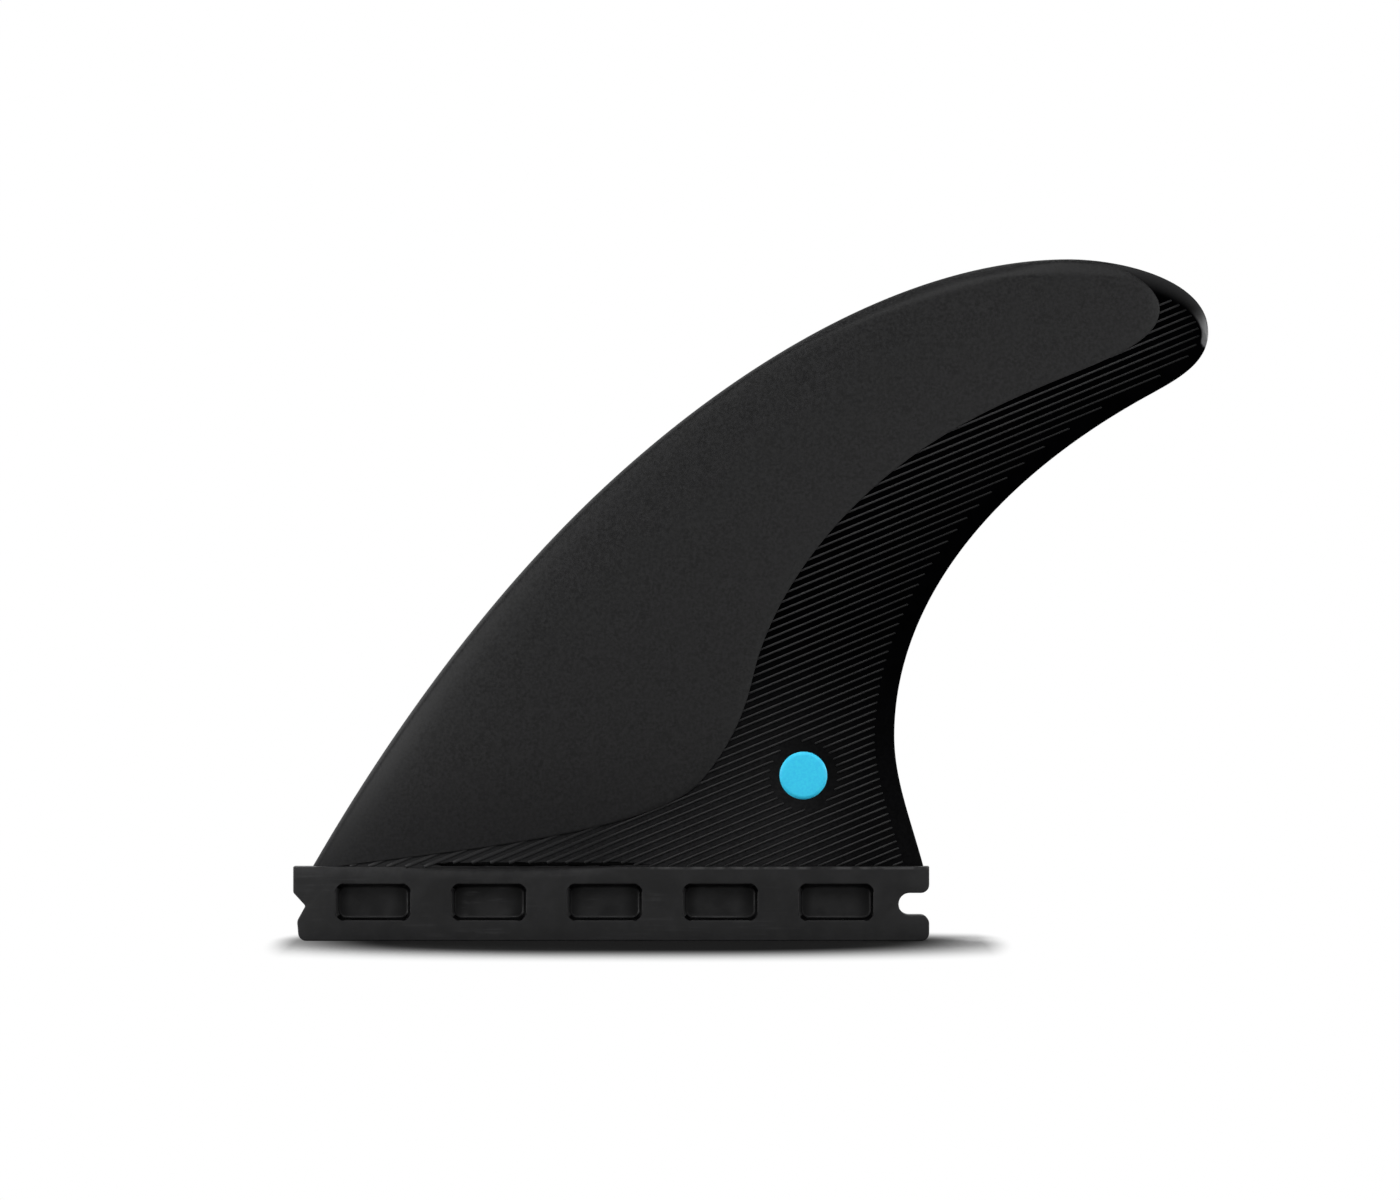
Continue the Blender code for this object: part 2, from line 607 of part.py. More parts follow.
def make_ribs(blade, collection):
    """Every rib as a low bead with sloped flanks, rooted in the blade's surface."""
    bm = bmesh.new()
    foot = direction(RIB_ANGLE + 90) * RIB_FOOT_WIDTH / 2
    ridge = direction(RIB_ANGLE + 90) * RIB_CREST_WIDTH / 2
    end_slope = direction(RIB_ANGLE) * RIB_HEIGHT
    for start, end in rib_runs(blade):
        count = max(2, math.ceil(np.linalg.norm(end - start) / RIB_STATION_SPACING) + 1)
        middle = start + np.linspace(0.0, 1.0, count)[:, None] * (end - start)
        crest = middle.copy()
        crest[0] += end_slope
        crest[-1] -= end_slope
        surface = flat_side_y(middle[:, 1]) - blade.outer_offset(middle, np.zeros(count))
        rings = []
        for place, top, y in zip(middle, crest, surface):
            ring = ((place - foot, y + RIB_ROOT), (top - ridge, y - RIB_HEIGHT),
                    (top + ridge, y - RIB_HEIGHT), (place + foot, y + RIB_ROOT))
            rings.append([bm.verts.new((xz[0], depth, xz[1] + TAB_DEPTH)) for xz, depth in ring])
        for near, far in zip(rings, rings[1:]):
            for index in range(len(near)):
                after = (index + 1) % len(near)
                bm.faces.new((near[index], near[after], far[after], far[index]))
        bm.faces.new(rings[0])
        bm.faces.new(rings[-1])
    bmesh.ops.triangulate(bm, faces=bm.faces)
    bmesh.ops.recalc_face_normals(bm, faces=bm.faces)
    return as_cutter(object_from_bmesh(bm, "ribs", collection))


def build():
    """Model the fin as one solid: tab, less its pockets, with the blade and its ribs."""
    for obj in list(bpy.data.objects):
        bpy.data.objects.remove(obj, do_unlink=True)
    parts = new_collection("surfboard_fin")
    cutters = new_collection("cutters")
    blade = Blade()
    fin = make_tab(parts)
    fin.data.materials.append(moulded_material())
    add_boolean(fin, make_pocket_cores(cutters), "DIFFERENCE")
    add_boolean(fin, make_blade(blade, cutters), "UNION")
    add_boolean(fin, make_ribs(blade, cutters), "UNION")


build()
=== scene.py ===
# %% [markdown]
# # A moulded surfboard fin
#
# A side fin is one moulding: a flat base tab that slides into the board, and a thin blade swept back
# over it. The outer side is foiled like a wing. It carries a matte raised panel along the leading
# edge, and behind it a glossy black field with fine ribs. The inner side is flat.
#
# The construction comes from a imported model, the frame. It has the right sizes, but its surfaces
# are coarse. This lesson models the same fin again with fine, rounded surfaces, gives each finish a
# material of its own, and sets it up on a white sweep under soft light.

# %% Load the frame
import math

import bmesh
import bpy
import numpy as np
from mathutils import Matrix, Vector
from mathutils.geometry import interpolate_bezier


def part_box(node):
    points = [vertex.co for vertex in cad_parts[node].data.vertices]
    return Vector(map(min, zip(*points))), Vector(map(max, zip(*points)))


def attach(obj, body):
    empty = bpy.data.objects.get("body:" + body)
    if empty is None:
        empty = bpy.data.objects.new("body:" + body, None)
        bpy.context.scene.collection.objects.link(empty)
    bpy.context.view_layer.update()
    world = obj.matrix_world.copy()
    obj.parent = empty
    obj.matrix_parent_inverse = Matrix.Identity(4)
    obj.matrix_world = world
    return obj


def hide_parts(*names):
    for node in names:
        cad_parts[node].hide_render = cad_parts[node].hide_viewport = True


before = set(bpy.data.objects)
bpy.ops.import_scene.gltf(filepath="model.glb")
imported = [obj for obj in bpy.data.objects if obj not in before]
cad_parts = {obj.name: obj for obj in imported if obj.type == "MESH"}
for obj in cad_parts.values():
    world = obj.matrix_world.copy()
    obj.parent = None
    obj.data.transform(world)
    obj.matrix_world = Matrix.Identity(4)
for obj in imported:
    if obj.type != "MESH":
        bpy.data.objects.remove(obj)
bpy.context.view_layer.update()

MM = 0.001
low_corner, high_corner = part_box("fin")
print("frame, in mm:", [round(v / MM, 2) for v in (*low_corner, *high_corner)])

# %% [markdown]
# ## Sizes
#
# The frame gives the overall sizes, so the fine model can't drift away from it: the tab's front end
# is the frame's lowest x, its inner face the highest y, and the blade's top the highest z. The rest
# are the driving sizes of the tab, the blade, the panel, the ribs and the gap under the foot.

# %% Sizes of the tab
TAB_LENGTH = -2 * low_corner.x
TAB_THICKNESS = 2 * high_corner.y
TAB_DEPTH = 13.3 * MM
TAB_CORNER_RADIUS = 1.45 * MM
TAB_EDGE_RADIUS = 0.25 * MM
NOTCH_LIP_HEIGHT = 8.7 * MM
NOTCH_LIP_RADIUS = 0.6 * MM
NOTCH_APEX_HEIGHT = 6.3 * MM
NOTCH_APEX_RADIUS = 0.4 * MM
NOTCH_DEPTH = 2.2 * MM
NOTCH_CHIN_HEIGHT = 3.6 * MM
NOTCH_CHIN_SETBACK = 0.7 * MM
NOTCH_CHIN_RADIUS = 1.3 * MM
NOTCH_FOOT_SETBACK = 1.0 * MM
SLOT_WIDTH = 4.0 * MM
SLOT_HEIGHT = 6.62 * MM
SLOT_DEPTH = 5.5 * MM
SLOT_MOUTH_RADIUS = 1.5 * MM
POCKET_COUNT = 5
POCKET_FRONT_WALL = 7.65 * MM
POCKET_REAR_WALL = 4.55 * MM
POCKET_BRIDGE = 7.4 * MM
POCKET_FOOT_WALL = 3.7 * MM
POCKET_TOP_WALL = 3.05 * MM
POCKET_FLOOR_THICKNESS = 2.55 * MM
POCKET_DRAFT = 0.5 * MM
POCKET_CORNER_RADIUS = 1.5 * MM

# %% Sizes of the blade, the panel and the ribs
BLADE_HEIGHT = high_corner.z - TAB_DEPTH
FRONT_BASE = (-TAB_LENGTH / 2 + 3.3 * MM, 0.0)
REAR_BASE = (TAB_LENGTH / 2 - 0.9 * MM, 0.0)
TOP_RAKE = 25.6 * MM
ROOT_THICKNESS = 7.05 * MM
TIP_THICKNESS = 2.5 * MM
EDGE_THICKNESS = 0.8 * MM
FRONT_EDGE_ROUND = 1.0 * MM
TIP_EDGE_ROUND = 3.6 * MM
TIP_ROUND_BELOW_TOP = 18.0 * MM
TIP_ROUND_GROWTH = 14.0 * MM
CANT = math.tan(math.radians(6.5))
PANEL_STEP = 0.3 * MM
PANEL_WALL = 0.22 * MM
PANEL_FADE_HEIGHT = 2.2 * MM
PANEL_SIDE_MARGIN = 1.5 * MM
RIB_PITCH = 1.29 * MM
RIB_ANGLE = 22.5
RIB_HEIGHT = 0.22 * MM
RIB_HALF_WIDTH = 0.2 * MM
RIB_BURY = 0.2 * MM
RIB_SHORTEST = 1.2 * MM
RIB_BASE_GAP = 0.1 * MM
RIB_CLEAR_OF_GAP = 0.75 * MM
WORN_RIBS_X = (-20.0 * MM, 15.0 * MM)
WORN_RIBS_HEIGHT = (2.0 * MM, 14.0 * MM)
WORN_RIBS_WIDENING = 0.7
PAD_RADIUS = 6.2 * MM
FOOT_GAP_RISE = 0.5 * MM
FOOT_GAP_HEIGHT = 0.68 * MM
FOOT_GAP_DEPTH = 1.5 * MM
FOOT_GAP_ENDS = ((-33.0, -28.0), (1.0, 6.0))
FOOT_GAP_RISE_WANDER = (0.75, 0.5)
FOOT_GAP_HEIGHT_WANDER = (0.5, 0.7)
FOOT_GAP_EDGE_SHIFT = 4.0 * MM
SATIN_AT_NOSE = 1.4 * MM
SATIN_AT_TOP = 5.2 * MM
# How far past the nose the painted highlight runs.
HIGHLIGHT_PAST_NOSE = 1.7 * MM
print("blade height in mm:", round(BLADE_HEIGHT / MM, 2))


# %% [markdown]
# ## Outline and panel edge
#
# The fin's outline is a handful of cubic curves that meet with the same heading, the way a shaper
# would fair it with a flexible batten. Blender's own interpolate_bezier gives the points of each.
# A curve's fullness is the length of its handles as a share of the straight line across it, so the
# outline keeps its character when a point moves. The panel's edge is drawn the same way, with each
# of its places set back from a place of the outline.

# %% Curves
CURVE_POINTS = 200


def heading(angle):
    """The unit vector at an angle in degrees."""
    return np.array((math.cos(math.radians(angle)), math.sin(math.radians(angle))))


def from_place(place, x, z):
    """A place in the XZ plane, given in mm from another."""
    return (place[0] + x * MM, place[1] + z * MM)


def swept_curve(start, start_angle, end, end_angle, fullness):
    """Points of one cubic curve, given its ends, their headings in degrees and its fullness."""
    start, end = np.array(start), np.array(end)
    straight = np.linalg.norm(end - start)
    leaving = start + fullness[0] * straight * heading(start_angle)
    arriving = end - fullness[1] * straight * heading(end_angle)
    knots = [Vector((*place, 0.0)) for place in (start, leaving, arriving, end)]
    return np.array([point[:2] for point in interpolate_bezier(*knots, CURVE_POINTS)])


def joined(*pieces):
    """Curve pieces end to end, without the doubled point at each joint."""
    return np.concatenate([pieces[0]] + [piece[1:] for piece in pieces[1:]])


# %% The outline
FRONT_MIDDLE = from_place(FRONT_BASE, 52.6, 68.2)
TOP = (REAR_BASE[0] + TOP_RAKE, BLADE_HEIGHT)
NOSE = from_place(TOP, 25.1, -13.0)
STRAIGHT = from_place(NOSE, -12.3, -12.2)
WAIST = from_place(REAR_BASE, -5.3, 23.6)
PAD = from_place(REAR_BASE, -21.7, 16.4)

FRONT_LINE = joined(swept_curve(FRONT_BASE, 59.9, FRONT_MIDDLE, 42.9, (0.32, 0.33)),
                    swept_curve(FRONT_MIDDLE, 42.9, TOP, 0.0, (0.35, 0.31)))
TIP_LINE = swept_curve(TOP, 0.0, NOSE, -90.0, (0.34, 0.33))
TRAILING_LINE = joined(swept_curve(NOSE, -90.0, STRAIGHT, -150.5, (0.35, 0.40)),
                       swept_curve(STRAIGHT, -150.5, WAIST, -90.0, (0.41, 0.32)),
                       swept_curve(WAIST, -90.0, REAR_BASE, -74.6, (0.32, 0.38)))
LEADING_LINE = joined(FRONT_LINE, TIP_LINE)
REAR_LINE = joined(TIP_LINE, TRAILING_LINE)
print("nose in mm:", [round(v / MM, 2) for v in NOSE], "frame's highest x:", round(high_corner.x / MM, 2))


# %% The panel's edge
def panel_line():
    """The raised panel's rear edge, from the base up and over its rounded tongue."""
    base = from_place(FRONT_BASE, 4.3, 0.0)
    heel = from_place(REAR_BASE, -40.1, 15.6)
    waist = from_place(WAIST, -25.6, 10.6)
    shoulder = from_place(STRAIGHT, -39.0, -8.7)
    tongue = from_place(NOSE, -8.9, 4.1)
    end_x = TOP[0] + 7.5 * MM
    end = (end_x, float(np.interp(end_x, TIP_LINE[:, 0], TIP_LINE[:, 1])) - 0.5 * MM)
    return joined(swept_curve(base, 10.0, heel, 50.0, (0.208, 0.197)),
                  swept_curve(heel, 50.0, waist, 77.0, (0.433, 0.289)),
                  swept_curve(waist, 77.0, shoulder, 34.3, (0.338, 0.316)),
                  swept_curve(shoulder, 34.3, tongue, 90.0, (0.510, 0.186)),
                  swept_curve(tongue, 90.0, end, 162.0, (0.287, 0.394)))


PANEL_LINE = panel_line()


def front_x(height):
    """Where the leading edge is at a height above the tab."""
    return np.interp(height, FRONT_LINE[:, 1], FRONT_LINE[:, 0])


def rear_x(height):
    """Where the tip or the trailing edge is at a height above the tab."""
    return np.interp(height, REAR_LINE[::-1, 1], REAR_LINE[::-1, 0])


def panel_x(height):
    """Where the panel ends at a height above the tab, always between the blade's edges."""
    front, rear = front_x(height), rear_x(height)
    margin = np.minimum(PANEL_SIDE_MARGIN, (rear - front) / 5)
    return np.clip(np.interp(height, PANEL_LINE[:, 1], PANEL_LINE[:, 0]), front + margin, rear - margin)


# %% [markdown]
# ## The foiled surface
#
# Every point of the blade is a place in the side view and a distance out from the flat inner side.
# That distance is a streamlined section, thin at the tip and thick at the root, which closes over
# the edges with a quarter round. One function holds it, so the skin, the panel's step and the ribs
# all lie on the same surface.

# %% Surface functions
FOIL_TERMS = ((0.5, 2.969), (1, -1.260), (2, -3.516), (3, 2.843), (4, -1.036))


def distance_to(points, line):
    """Distance from each point to a line of short straight pieces."""
    start = line[:-1]
    along = line[1:] - start
    offset = points[:, None, :] - start[None, :, :]
    share = (offset * along).sum(axis=2) / (along ** 2).sum(axis=1)
    nearest = offset - np.clip(share, 0.0, 1.0)[:, :, None] * along
    return np.sqrt((nearest ** 2).sum(axis=2)).min(axis=1)


def smooth_step(value, low, high):
    """Rise from 0 to 1 between two values, level at both ends."""
    share = np.clip((value - low) / (high - low), 0.0, 1.0)
    return share * share * (3.0 - 2.0 * share)


def quarter_round(distance, radius):
    """Height of a rounded edge: 0 at the edge and 1 from one radius inwards."""
    return np.sqrt(1.0 - (1.0 - np.clip(distance / radius, 0.0, 1.0)) ** 2)


def flat_side_y(height):
    """The inner side's plane, which leans outward with height."""
    return TAB_THICKNESS / 2 - height * CANT


def outer_offset(points, raised):
    """How far the outer surface stands off the flat inner side, at places in the XZ plane."""
    height = points[:, 1]
    front = front_x(height)
    across = np.maximum(rear_x(height) - front, 0.01 * MM)
    share = np.clip((points[:, 0] - front) / across, 0.0, 1.0)
    foil = sum(factor * share ** power for power, factor in FOIL_TERMS)
    deepest = ROOT_THICKNESS + (TIP_THICKNESS - ROOT_THICKNESS) * height / BLADE_HEIGHT
    panel_end = PANEL_LINE[-1, 1]
    fade = 1.0 - smooth_step(height, panel_end - PANEL_FADE_HEIGHT, panel_end)
    body = EDGE_THICKNESS / 2 + (deepest - EDGE_THICKNESS) * foil + PANEL_STEP * fade * raised
    low = BLADE_HEIGHT - TIP_ROUND_BELOW_TOP
    growth = smooth_step(height, low, low + TIP_ROUND_GROWTH)
    front_round = FRONT_EDGE_ROUND + (TIP_EDGE_ROUND - FRONT_EDGE_ROUND) * growth
    closing = (quarter_round(distance_to(points, LEADING_LINE), front_round)
               * quarter_round(distance_to(points, TRAILING_LINE), EDGE_THICKNESS / 2))
    return EDGE_THICKNESS / 2 + body * closing


def inner_offset(points):
    """How far the inner side's rounded edge lies in from the flat inner side."""
    nearest = np.minimum(distance_to(points, LEADING_LINE), distance_to(points, TRAILING_LINE))
    return EDGE_THICKNESS / 2 * (1.0 - quarter_round(nearest, EDGE_THICKNESS / 2))


middle_of_root = np.array([[0.0, 0.0]])
print("root thickness in mm:", round(float(outer_offset(middle_of_root, 1.0)[0]) / MM, 2))

# %% [markdown]
# ## The blade's skin
#
# The blade could be sculpted, or built from many faces by hand. Here it is a flat grid wrapped round
# the section like a sleeve: each column of the grid is a place round the section, and each row a
# height. Columns crowd at the edges and at the panel's step, where the surface turns fast, and rows
# crowd at the base and the top. The top row shrinks to one point, and merging the doubled points
# closes both the seam and the top.

# %% Rows and columns
PANEL_COLUMNS = 46
WALL_COLUMNS = 6
FIELD_COLUMNS = 58
EDGE_COLUMNS = 6
INNER_COLUMNS = 10
COLUMNS = PANEL_COLUMNS + WALL_COLUMNS + FIELD_COLUMNS + 3 * EDGE_COLUMNS + INNER_COLUMNS
ROW_ZONES = ((0.0, 1.1, 0.05), (1.1, 6.0, 0.26), (6.0, 18.0, 0.5),
             (18.0, 80.0, 0.8), (80.0, 97.0, 0.5))
DOME_ROWS = 34
FRONT_CROWDING = 2.2
WIDEST_WALL = 0.2
WIDEST_EDGE = 0.1
MERGE_REACH = 0.0005 * MM


def row_heights():
    """Heights of the grid's rows above the tab, from the base to the top."""
    dome_start = ROW_ZONES[-1][1] * MM
    rows = [np.arange(low, high, spacing) * MM for low, high, spacing in ROW_ZONES]
    share = np.linspace(1.0, 0.0, DOME_ROWS)
    rows.append(BLADE_HEIGHT - (BLADE_HEIGHT - dome_start) * share ** 2)
    return np.concatenate(rows)


def stretch(edge_x, height, reach, widest):
    """A width square to a slanting edge, measured along the level section instead."""
    step = min(0.1 * MM, (BLADE_HEIGHT - height) / 4) + 1e-9
    slope = (float(edge_x(height + step)) - float(edge_x(height - step))) / (2 * step)
    return min(reach * math.hypot(1.0, slope), widest)


def arc_places(count):
    """Shares of a rounded edge's width, evenly spread round its quarter circle, from the edge in."""
    return 1.0 - np.cos(np.linspace(0.0, math.pi / 2, count + 1))


# %% The gap under the foot
def ragged(x):
    """A value from 0 to 1 that wanders along X, for edges that the ribs' ends make uneven."""
    waves = ((2.9, 0.3, 1.0), (1.3, 1.9, 0.7), (0.8, 0.6, 0.5))
    total = sum(share * np.sin(2 * math.pi * x / (pitch * MM) + start) for pitch, start, share in waves)
    return 0.5 + 0.5 * total / sum(share for _, _, share in waves)


GAP_FLOOR = FOOT_GAP_DEPTH - TAB_THICKNESS / 2


def gap_share(x):
    """How open the gap is along X: 1 over most of its length, and 0 beyond its two ends."""
    (front, full_from), (full_to, rear) = FOOT_GAP_ENDS
    return smooth_step(x, front * MM, full_from * MM) * (1.0 - smooth_step(x, full_to * MM, rear * MM))


def wandering(x, least, spread):
    """A factor that wanders along X, from its least value up by no more than its spread."""
    return least + spread * ragged(x)


def in_foot_gap(x, height):
    """Whether places on the outer surface lie in the thin wavy gap between the foot and the tab."""
    middle = FOOT_GAP_RISE * wandering(x, *FOOT_GAP_RISE_WANDER)
    tall = FOOT_GAP_HEIGHT * gap_share(x) * wandering(x + FOOT_GAP_EDGE_SHIFT, *FOOT_GAP_HEIGHT_WANDER)
    return abs(height - middle) < tall / 2


# %% One section
def section(height):
    """Points round one level section, outer side first, with the first point again at the end."""
    front, rear, panel = float(front_x(height)), float(rear_x(height)), float(panel_x(height))
    width = rear - front
    wall = stretch(panel_x, height, PANEL_WALL, WIDEST_WALL * (rear - panel))
    rear_edge = stretch(rear_x, height, EDGE_THICKNESS / 2, WIDEST_EDGE * width)
    front_edge = stretch(front_x, height, EDGE_THICKNESS / 2, WIDEST_EDGE * width)
    crowd = np.linspace(0.0, 1.0, PANEL_COLUMNS + 1) ** FRONT_CROWDING
    across_wall = np.linspace(0.0, 1.0, WALL_COLUMNS + 1)[1:]
    field_end = rear - rear_edge
    across_field = np.linspace(0.0, 1.0, FIELD_COLUMNS + 1)[1:]
    edge = arc_places(EDGE_COLUMNS)
    outer_x = np.concatenate((
        front + (panel - front) * crowd,
        panel + wall * across_wall,
        panel + wall + (field_end - panel - wall) * across_field,
        rear - rear_edge * edge[-2::-1]))
    raised = np.zeros(len(outer_x))
    raised[:PANEL_COLUMNS + 1] = 1.0
    raised[PANEL_COLUMNS + 1:PANEL_COLUMNS + 1 + WALL_COLUMNS] = 1.0 - smooth_step(across_wall, 0.0, 1.0)
    inner_x = np.concatenate((
        rear - rear_edge * edge[1:],
        np.linspace(rear - rear_edge, front + front_edge, INNER_COLUMNS + 1)[1:],
        front + front_edge * edge[-2::-1]))
    outer = np.stack((outer_x, np.full_like(outer_x, height)), axis=1)
    inner = np.stack((inner_x, np.full_like(inner_x, height)), axis=1)
    outer_y = flat_side_y(height) - outer_offset(outer, raised)
    outer_y = np.where(in_foot_gap(outer_x, height), GAP_FLOOR, outer_y)
    inner_y = flat_side_y(height) - inner_offset(inner)
    return list(zip(np.concatenate((outer_x, inner_x)), np.concatenate((outer_y, inner_y))))


# %% Wrap the grid
SINK = 0.05 * MM
# One slot is the black of painted shade, in pocket walls and the gap under the foot.
MATTE, GLOSS, RIBS, TAB, SHADE_BLACK, FLOOR = range(6)


def wrapped_blade():
    """The blade's skin as a bmesh: a grid wrapped round every section and merged at its seams."""
    heights = row_heights()
    bm = bmesh.new()
    bmesh.ops.create_grid(bm, x_segments=COLUMNS, y_segments=len(heights) - 1, size=0.5)
    sections = [section(float(height)) for height in heights]
    gapped = [[y == GAP_FLOOR for _, y in places] for places in sections]
    column_of = {vert: round((vert.co.x + 0.5) * COLUMNS) for vert in bm.verts}
    row_of = {vert: round((vert.co.y + 0.5) * (len(heights) - 1)) for vert in bm.verts}
    gloss_from = PANEL_COLUMNS + WALL_COLUMNS // 2
    gloss_to = PANEL_COLUMNS + WALL_COLUMNS + FIELD_COLUMNS + EDGE_COLUMNS
    for face in bm.faces:
        face.smooth = True
        column = min(column_of[vert] for vert in face.verts)
        face.material_index = GLOSS if gloss_from <= column < gloss_to else MATTE
        # Faces in the gap under the foot take the black of painted shade.
        if column < gloss_to and all(gapped[row_of[vert]][column_of[vert]] for vert in face.verts):
            face.material_index = SHADE_BLACK
    for vert in bm.verts:
        row = row_of[vert]
        x, y = sections[row][column_of[vert]]
        vert.co = (x, y, TAB_DEPTH + heights[row] - (SINK if row == 0 else 0.0))
    bmesh.ops.remove_doubles(bm, verts=bm.verts, dist=MERGE_REACH)
    bmesh.ops.dissolve_degenerate(bm, edges=bm.edges, dist=MERGE_REACH)
    rim = [edge for edge in bm.edges if edge.is_boundary]
    bmesh.ops.holes_fill(bm, edges=rim, sides=0)
    bmesh.ops.recalc_face_normals(bm, faces=bm.faces)
    satin = bm.verts.layers.float.new("tip_satin")
    places = np.array([(vert.co.x, vert.co.z - TAB_DEPTH) for vert in bm.verts])
    widths = np.interp(places[:, 1], (NOSE[1], TOP[1]), (SATIN_AT_NOSE, SATIN_AT_TOP))
    # The edge's values run a little past the nose, to carry the painted highlight there.
    past_nose = TRAILING_LINE[TRAILING_LINE[:, 1] > NOSE[1] - HIGHLIGHT_PAST_NOSE]
    near = 1.0 - np.clip(distance_to(places, joined(TIP_LINE, past_nose)) / widths, 0.0, 1.0)
    for vert, value in zip(bm.verts, near):
        vert[satin] = value
    return bm


blade = wrapped_blade()
print("blade:", len(blade.faces), "faces, open edges:", sum(edge.is_boundary for edge in blade.edges))


# %% [markdown]
# ## The ribs
#
# Each rib is a fine straight bead with round ends, moulded on the black field. A bead starts as a
# small sphere. Its two halves are moved apart, the stretched faces between them are cut into short
# lengths, and every point is then laid on the foiled surface. The lines are found first: parallel
# lines cross the field, and a rib runs wherever a line is clear of the panel, the smooth rim and
# the round pad.

# %% Where the ribs run
RIM_PLACES = ((0.0, 3.45), (WAIST[1], 3.7), (STRAIGHT[1], 2.4), (NOSE[1], 1.7), (TOP[1], 4.5))


def rim_width(height):
    """Width of the smooth rim behind the ribs' ends."""
    return np.interp(height, [place for place, _ in RIM_PLACES], [width * MM for _, width in RIM_PLACES])


def carries_ribs(points):
    """Whether places in the XZ plane lie in the ribbed field."""
    height = points[:, 1]
    inside = points[:, 0] > panel_x(height) - RIB_BURY
    inside &= height > RIB_BASE_GAP + RIB_CLEAR_OF_GAP * gap_share(points[:, 0])
    inside &= height < BLADE_HEIGHT
    inside &= points[:, 0] < rear_x(height)
    inside &= distance_to(points, REAR_LINE) > rim_width(height)
    inside &= np.hypot(points[:, 0] - PAD[0], points[:, 1] - PAD[1]) > PAD_RADIUS
    return inside


def rib_runs():
    """Ends of every straight rib, found along parallel lines across the field."""
    along, across = heading(RIB_ANGLE), heading(RIB_ANGLE + 90)
    outline = np.concatenate((LEADING_LINE, TRAILING_LINE))
    low, high = (outline @ across).min(), (outline @ across).max()
    sample = 0.1 * MM
    places = np.arange((outline @ along).min(), (outline @ along).max(), sample)
    runs = []
    for number in range(math.ceil(low / RIB_PITCH), math.floor(high / RIB_PITCH) + 1):
        line = across * number * RIB_PITCH + places[:, None] * along
        inside = carries_ribs(line).astype(int)
        turns = np.flatnonzero(np.diff(np.concatenate(([0], inside, [0]))))
        for first, last in zip(turns[::2], turns[1::2]):
            if (last - 1 - first) * sample > RIB_SHORTEST:
                runs.append((line[first], line[last - 1]))
    return runs


# %% Make the beads
BEAD_SIDES = 8
BEAD_RINGS = 7
BEAD_CUT_LENGTH = 2.0 * MM


def straight_bead(length):
    """A round-ended bead along X with one end at the origin, its height along Y."""
    bm = bmesh.new()
    bmesh.ops.create_uvsphere(bm, u_segments=BEAD_SIDES, v_segments=BEAD_RINGS, radius=1.0)
    bmesh.ops.rotate(bm, verts=bm.verts, cent=(0, 0, 0), matrix=Matrix.Rotation(math.pi / 2, 3, "Y"))
    bmesh.ops.scale(bm, vec=(RIB_HALF_WIDTH, RIB_HEIGHT, RIB_HALF_WIDTH), verts=bm.verts)
    far_half = [vert for vert in bm.verts if vert.co.x > 0]
    stretched = [edge for edge in bm.edges if edge.verts[0].co.x * edge.verts[1].co.x < 0]
    bmesh.ops.translate(bm, vec=(length, 0, 0), verts=far_half)
    cuts = max(1, math.ceil(length / BEAD_CUT_LENGTH) - 1)
    bmesh.ops.subdivide_edges(bm, edges=stretched, cuts=cuts)
    return bm


def laid_ribs():
    """Every rib, bent on to the foiled surface. The ones low in front are wider, as if worn."""
    whole = bmesh.new()
    runs = rib_runs()
    mesh = bpy.data.meshes.new("one_rib")
    for start, end in runs:
        bead = straight_bead(float(np.linalg.norm(end - start)))
        local = np.array([vert.co for vert in bead.verts])
        middle = start + local[:, :1] * heading(RIB_ANGLE)
        forward = 1.0 - smooth_step(middle[:, :1], *WORN_RIBS_X)
        low = 1.0 - smooth_step(middle[:, 1:], *WORN_RIBS_HEIGHT)
        worn = forward * low
        places = middle + local[:, 2:] * (1.0 + WORN_RIBS_WIDENING * worn) * heading(RIB_ANGLE + 90)
        surface = flat_side_y(middle[:, 1]) - outer_offset(middle, 0.0)
        panel, rear = panel_x(middle[:, 1]), rear_x(middle[:, 1])
        shares = np.clip((middle[:, 0] - panel) / (rear - panel), 0.0, 1.0)
        across = bead.verts.layers.float.new("across_field")
        for vert, place, y, rise, share in zip(bead.verts, places, surface, local[:, 1], shares):
            vert.co = (place[0], y - rise, place[1] + TAB_DEPTH)
            vert[across] = share
        bmesh.ops.recalc_face_normals(bead, faces=bead.faces)
        bead.to_mesh(mesh)
        bead.free()
        whole.from_mesh(mesh)
    bpy.data.meshes.remove(mesh)
    for face in whole.faces:
        face.smooth = True
        face.material_index = RIBS
    print("ribs:", len(runs), "beads,", len(whole.faces), "faces")
    return whole


ribs = laid_ribs()


# %% [markdown]
# ## The base tab
#
# The tab is a flat plate. It starts as one face with a vertex at each corner of its side view. A
# vertex bevel rounds each corner by its own radius, extruding gives the plate its thickness, and an
# edge bevel takes the sharpness off its rim, as the mould's parting does. The pockets save material:
# the side faces are cut into cells, and each cell is inset, rounded, pushed in and tapered so that
# the moulding leaves its core.

# %% Rounding
CORNER_SEGMENTS = 8
EDGE_SEGMENTS = 3


def round_corners(bm, verts, reach):
    """Round the corners of a flat face, with no change of finish."""
    bmesh.ops.bevel(bm, geom=verts, offset=reach, offset_type="OFFSET", segments=CORNER_SEGMENTS,
                    profile=0.5, affect="VERTICES", material=-1)


def round_edges(bm, edges, radius, finish=-1):
    """Round edges by a radius. The new faces keep their neighbours' finish unless one is given."""
    bmesh.ops.bevel(bm, geom=edges, offset=radius, offset_type="OFFSET", segments=EDGE_SEGMENTS,
                    profile=0.5, affect="EDGES", material=finish)


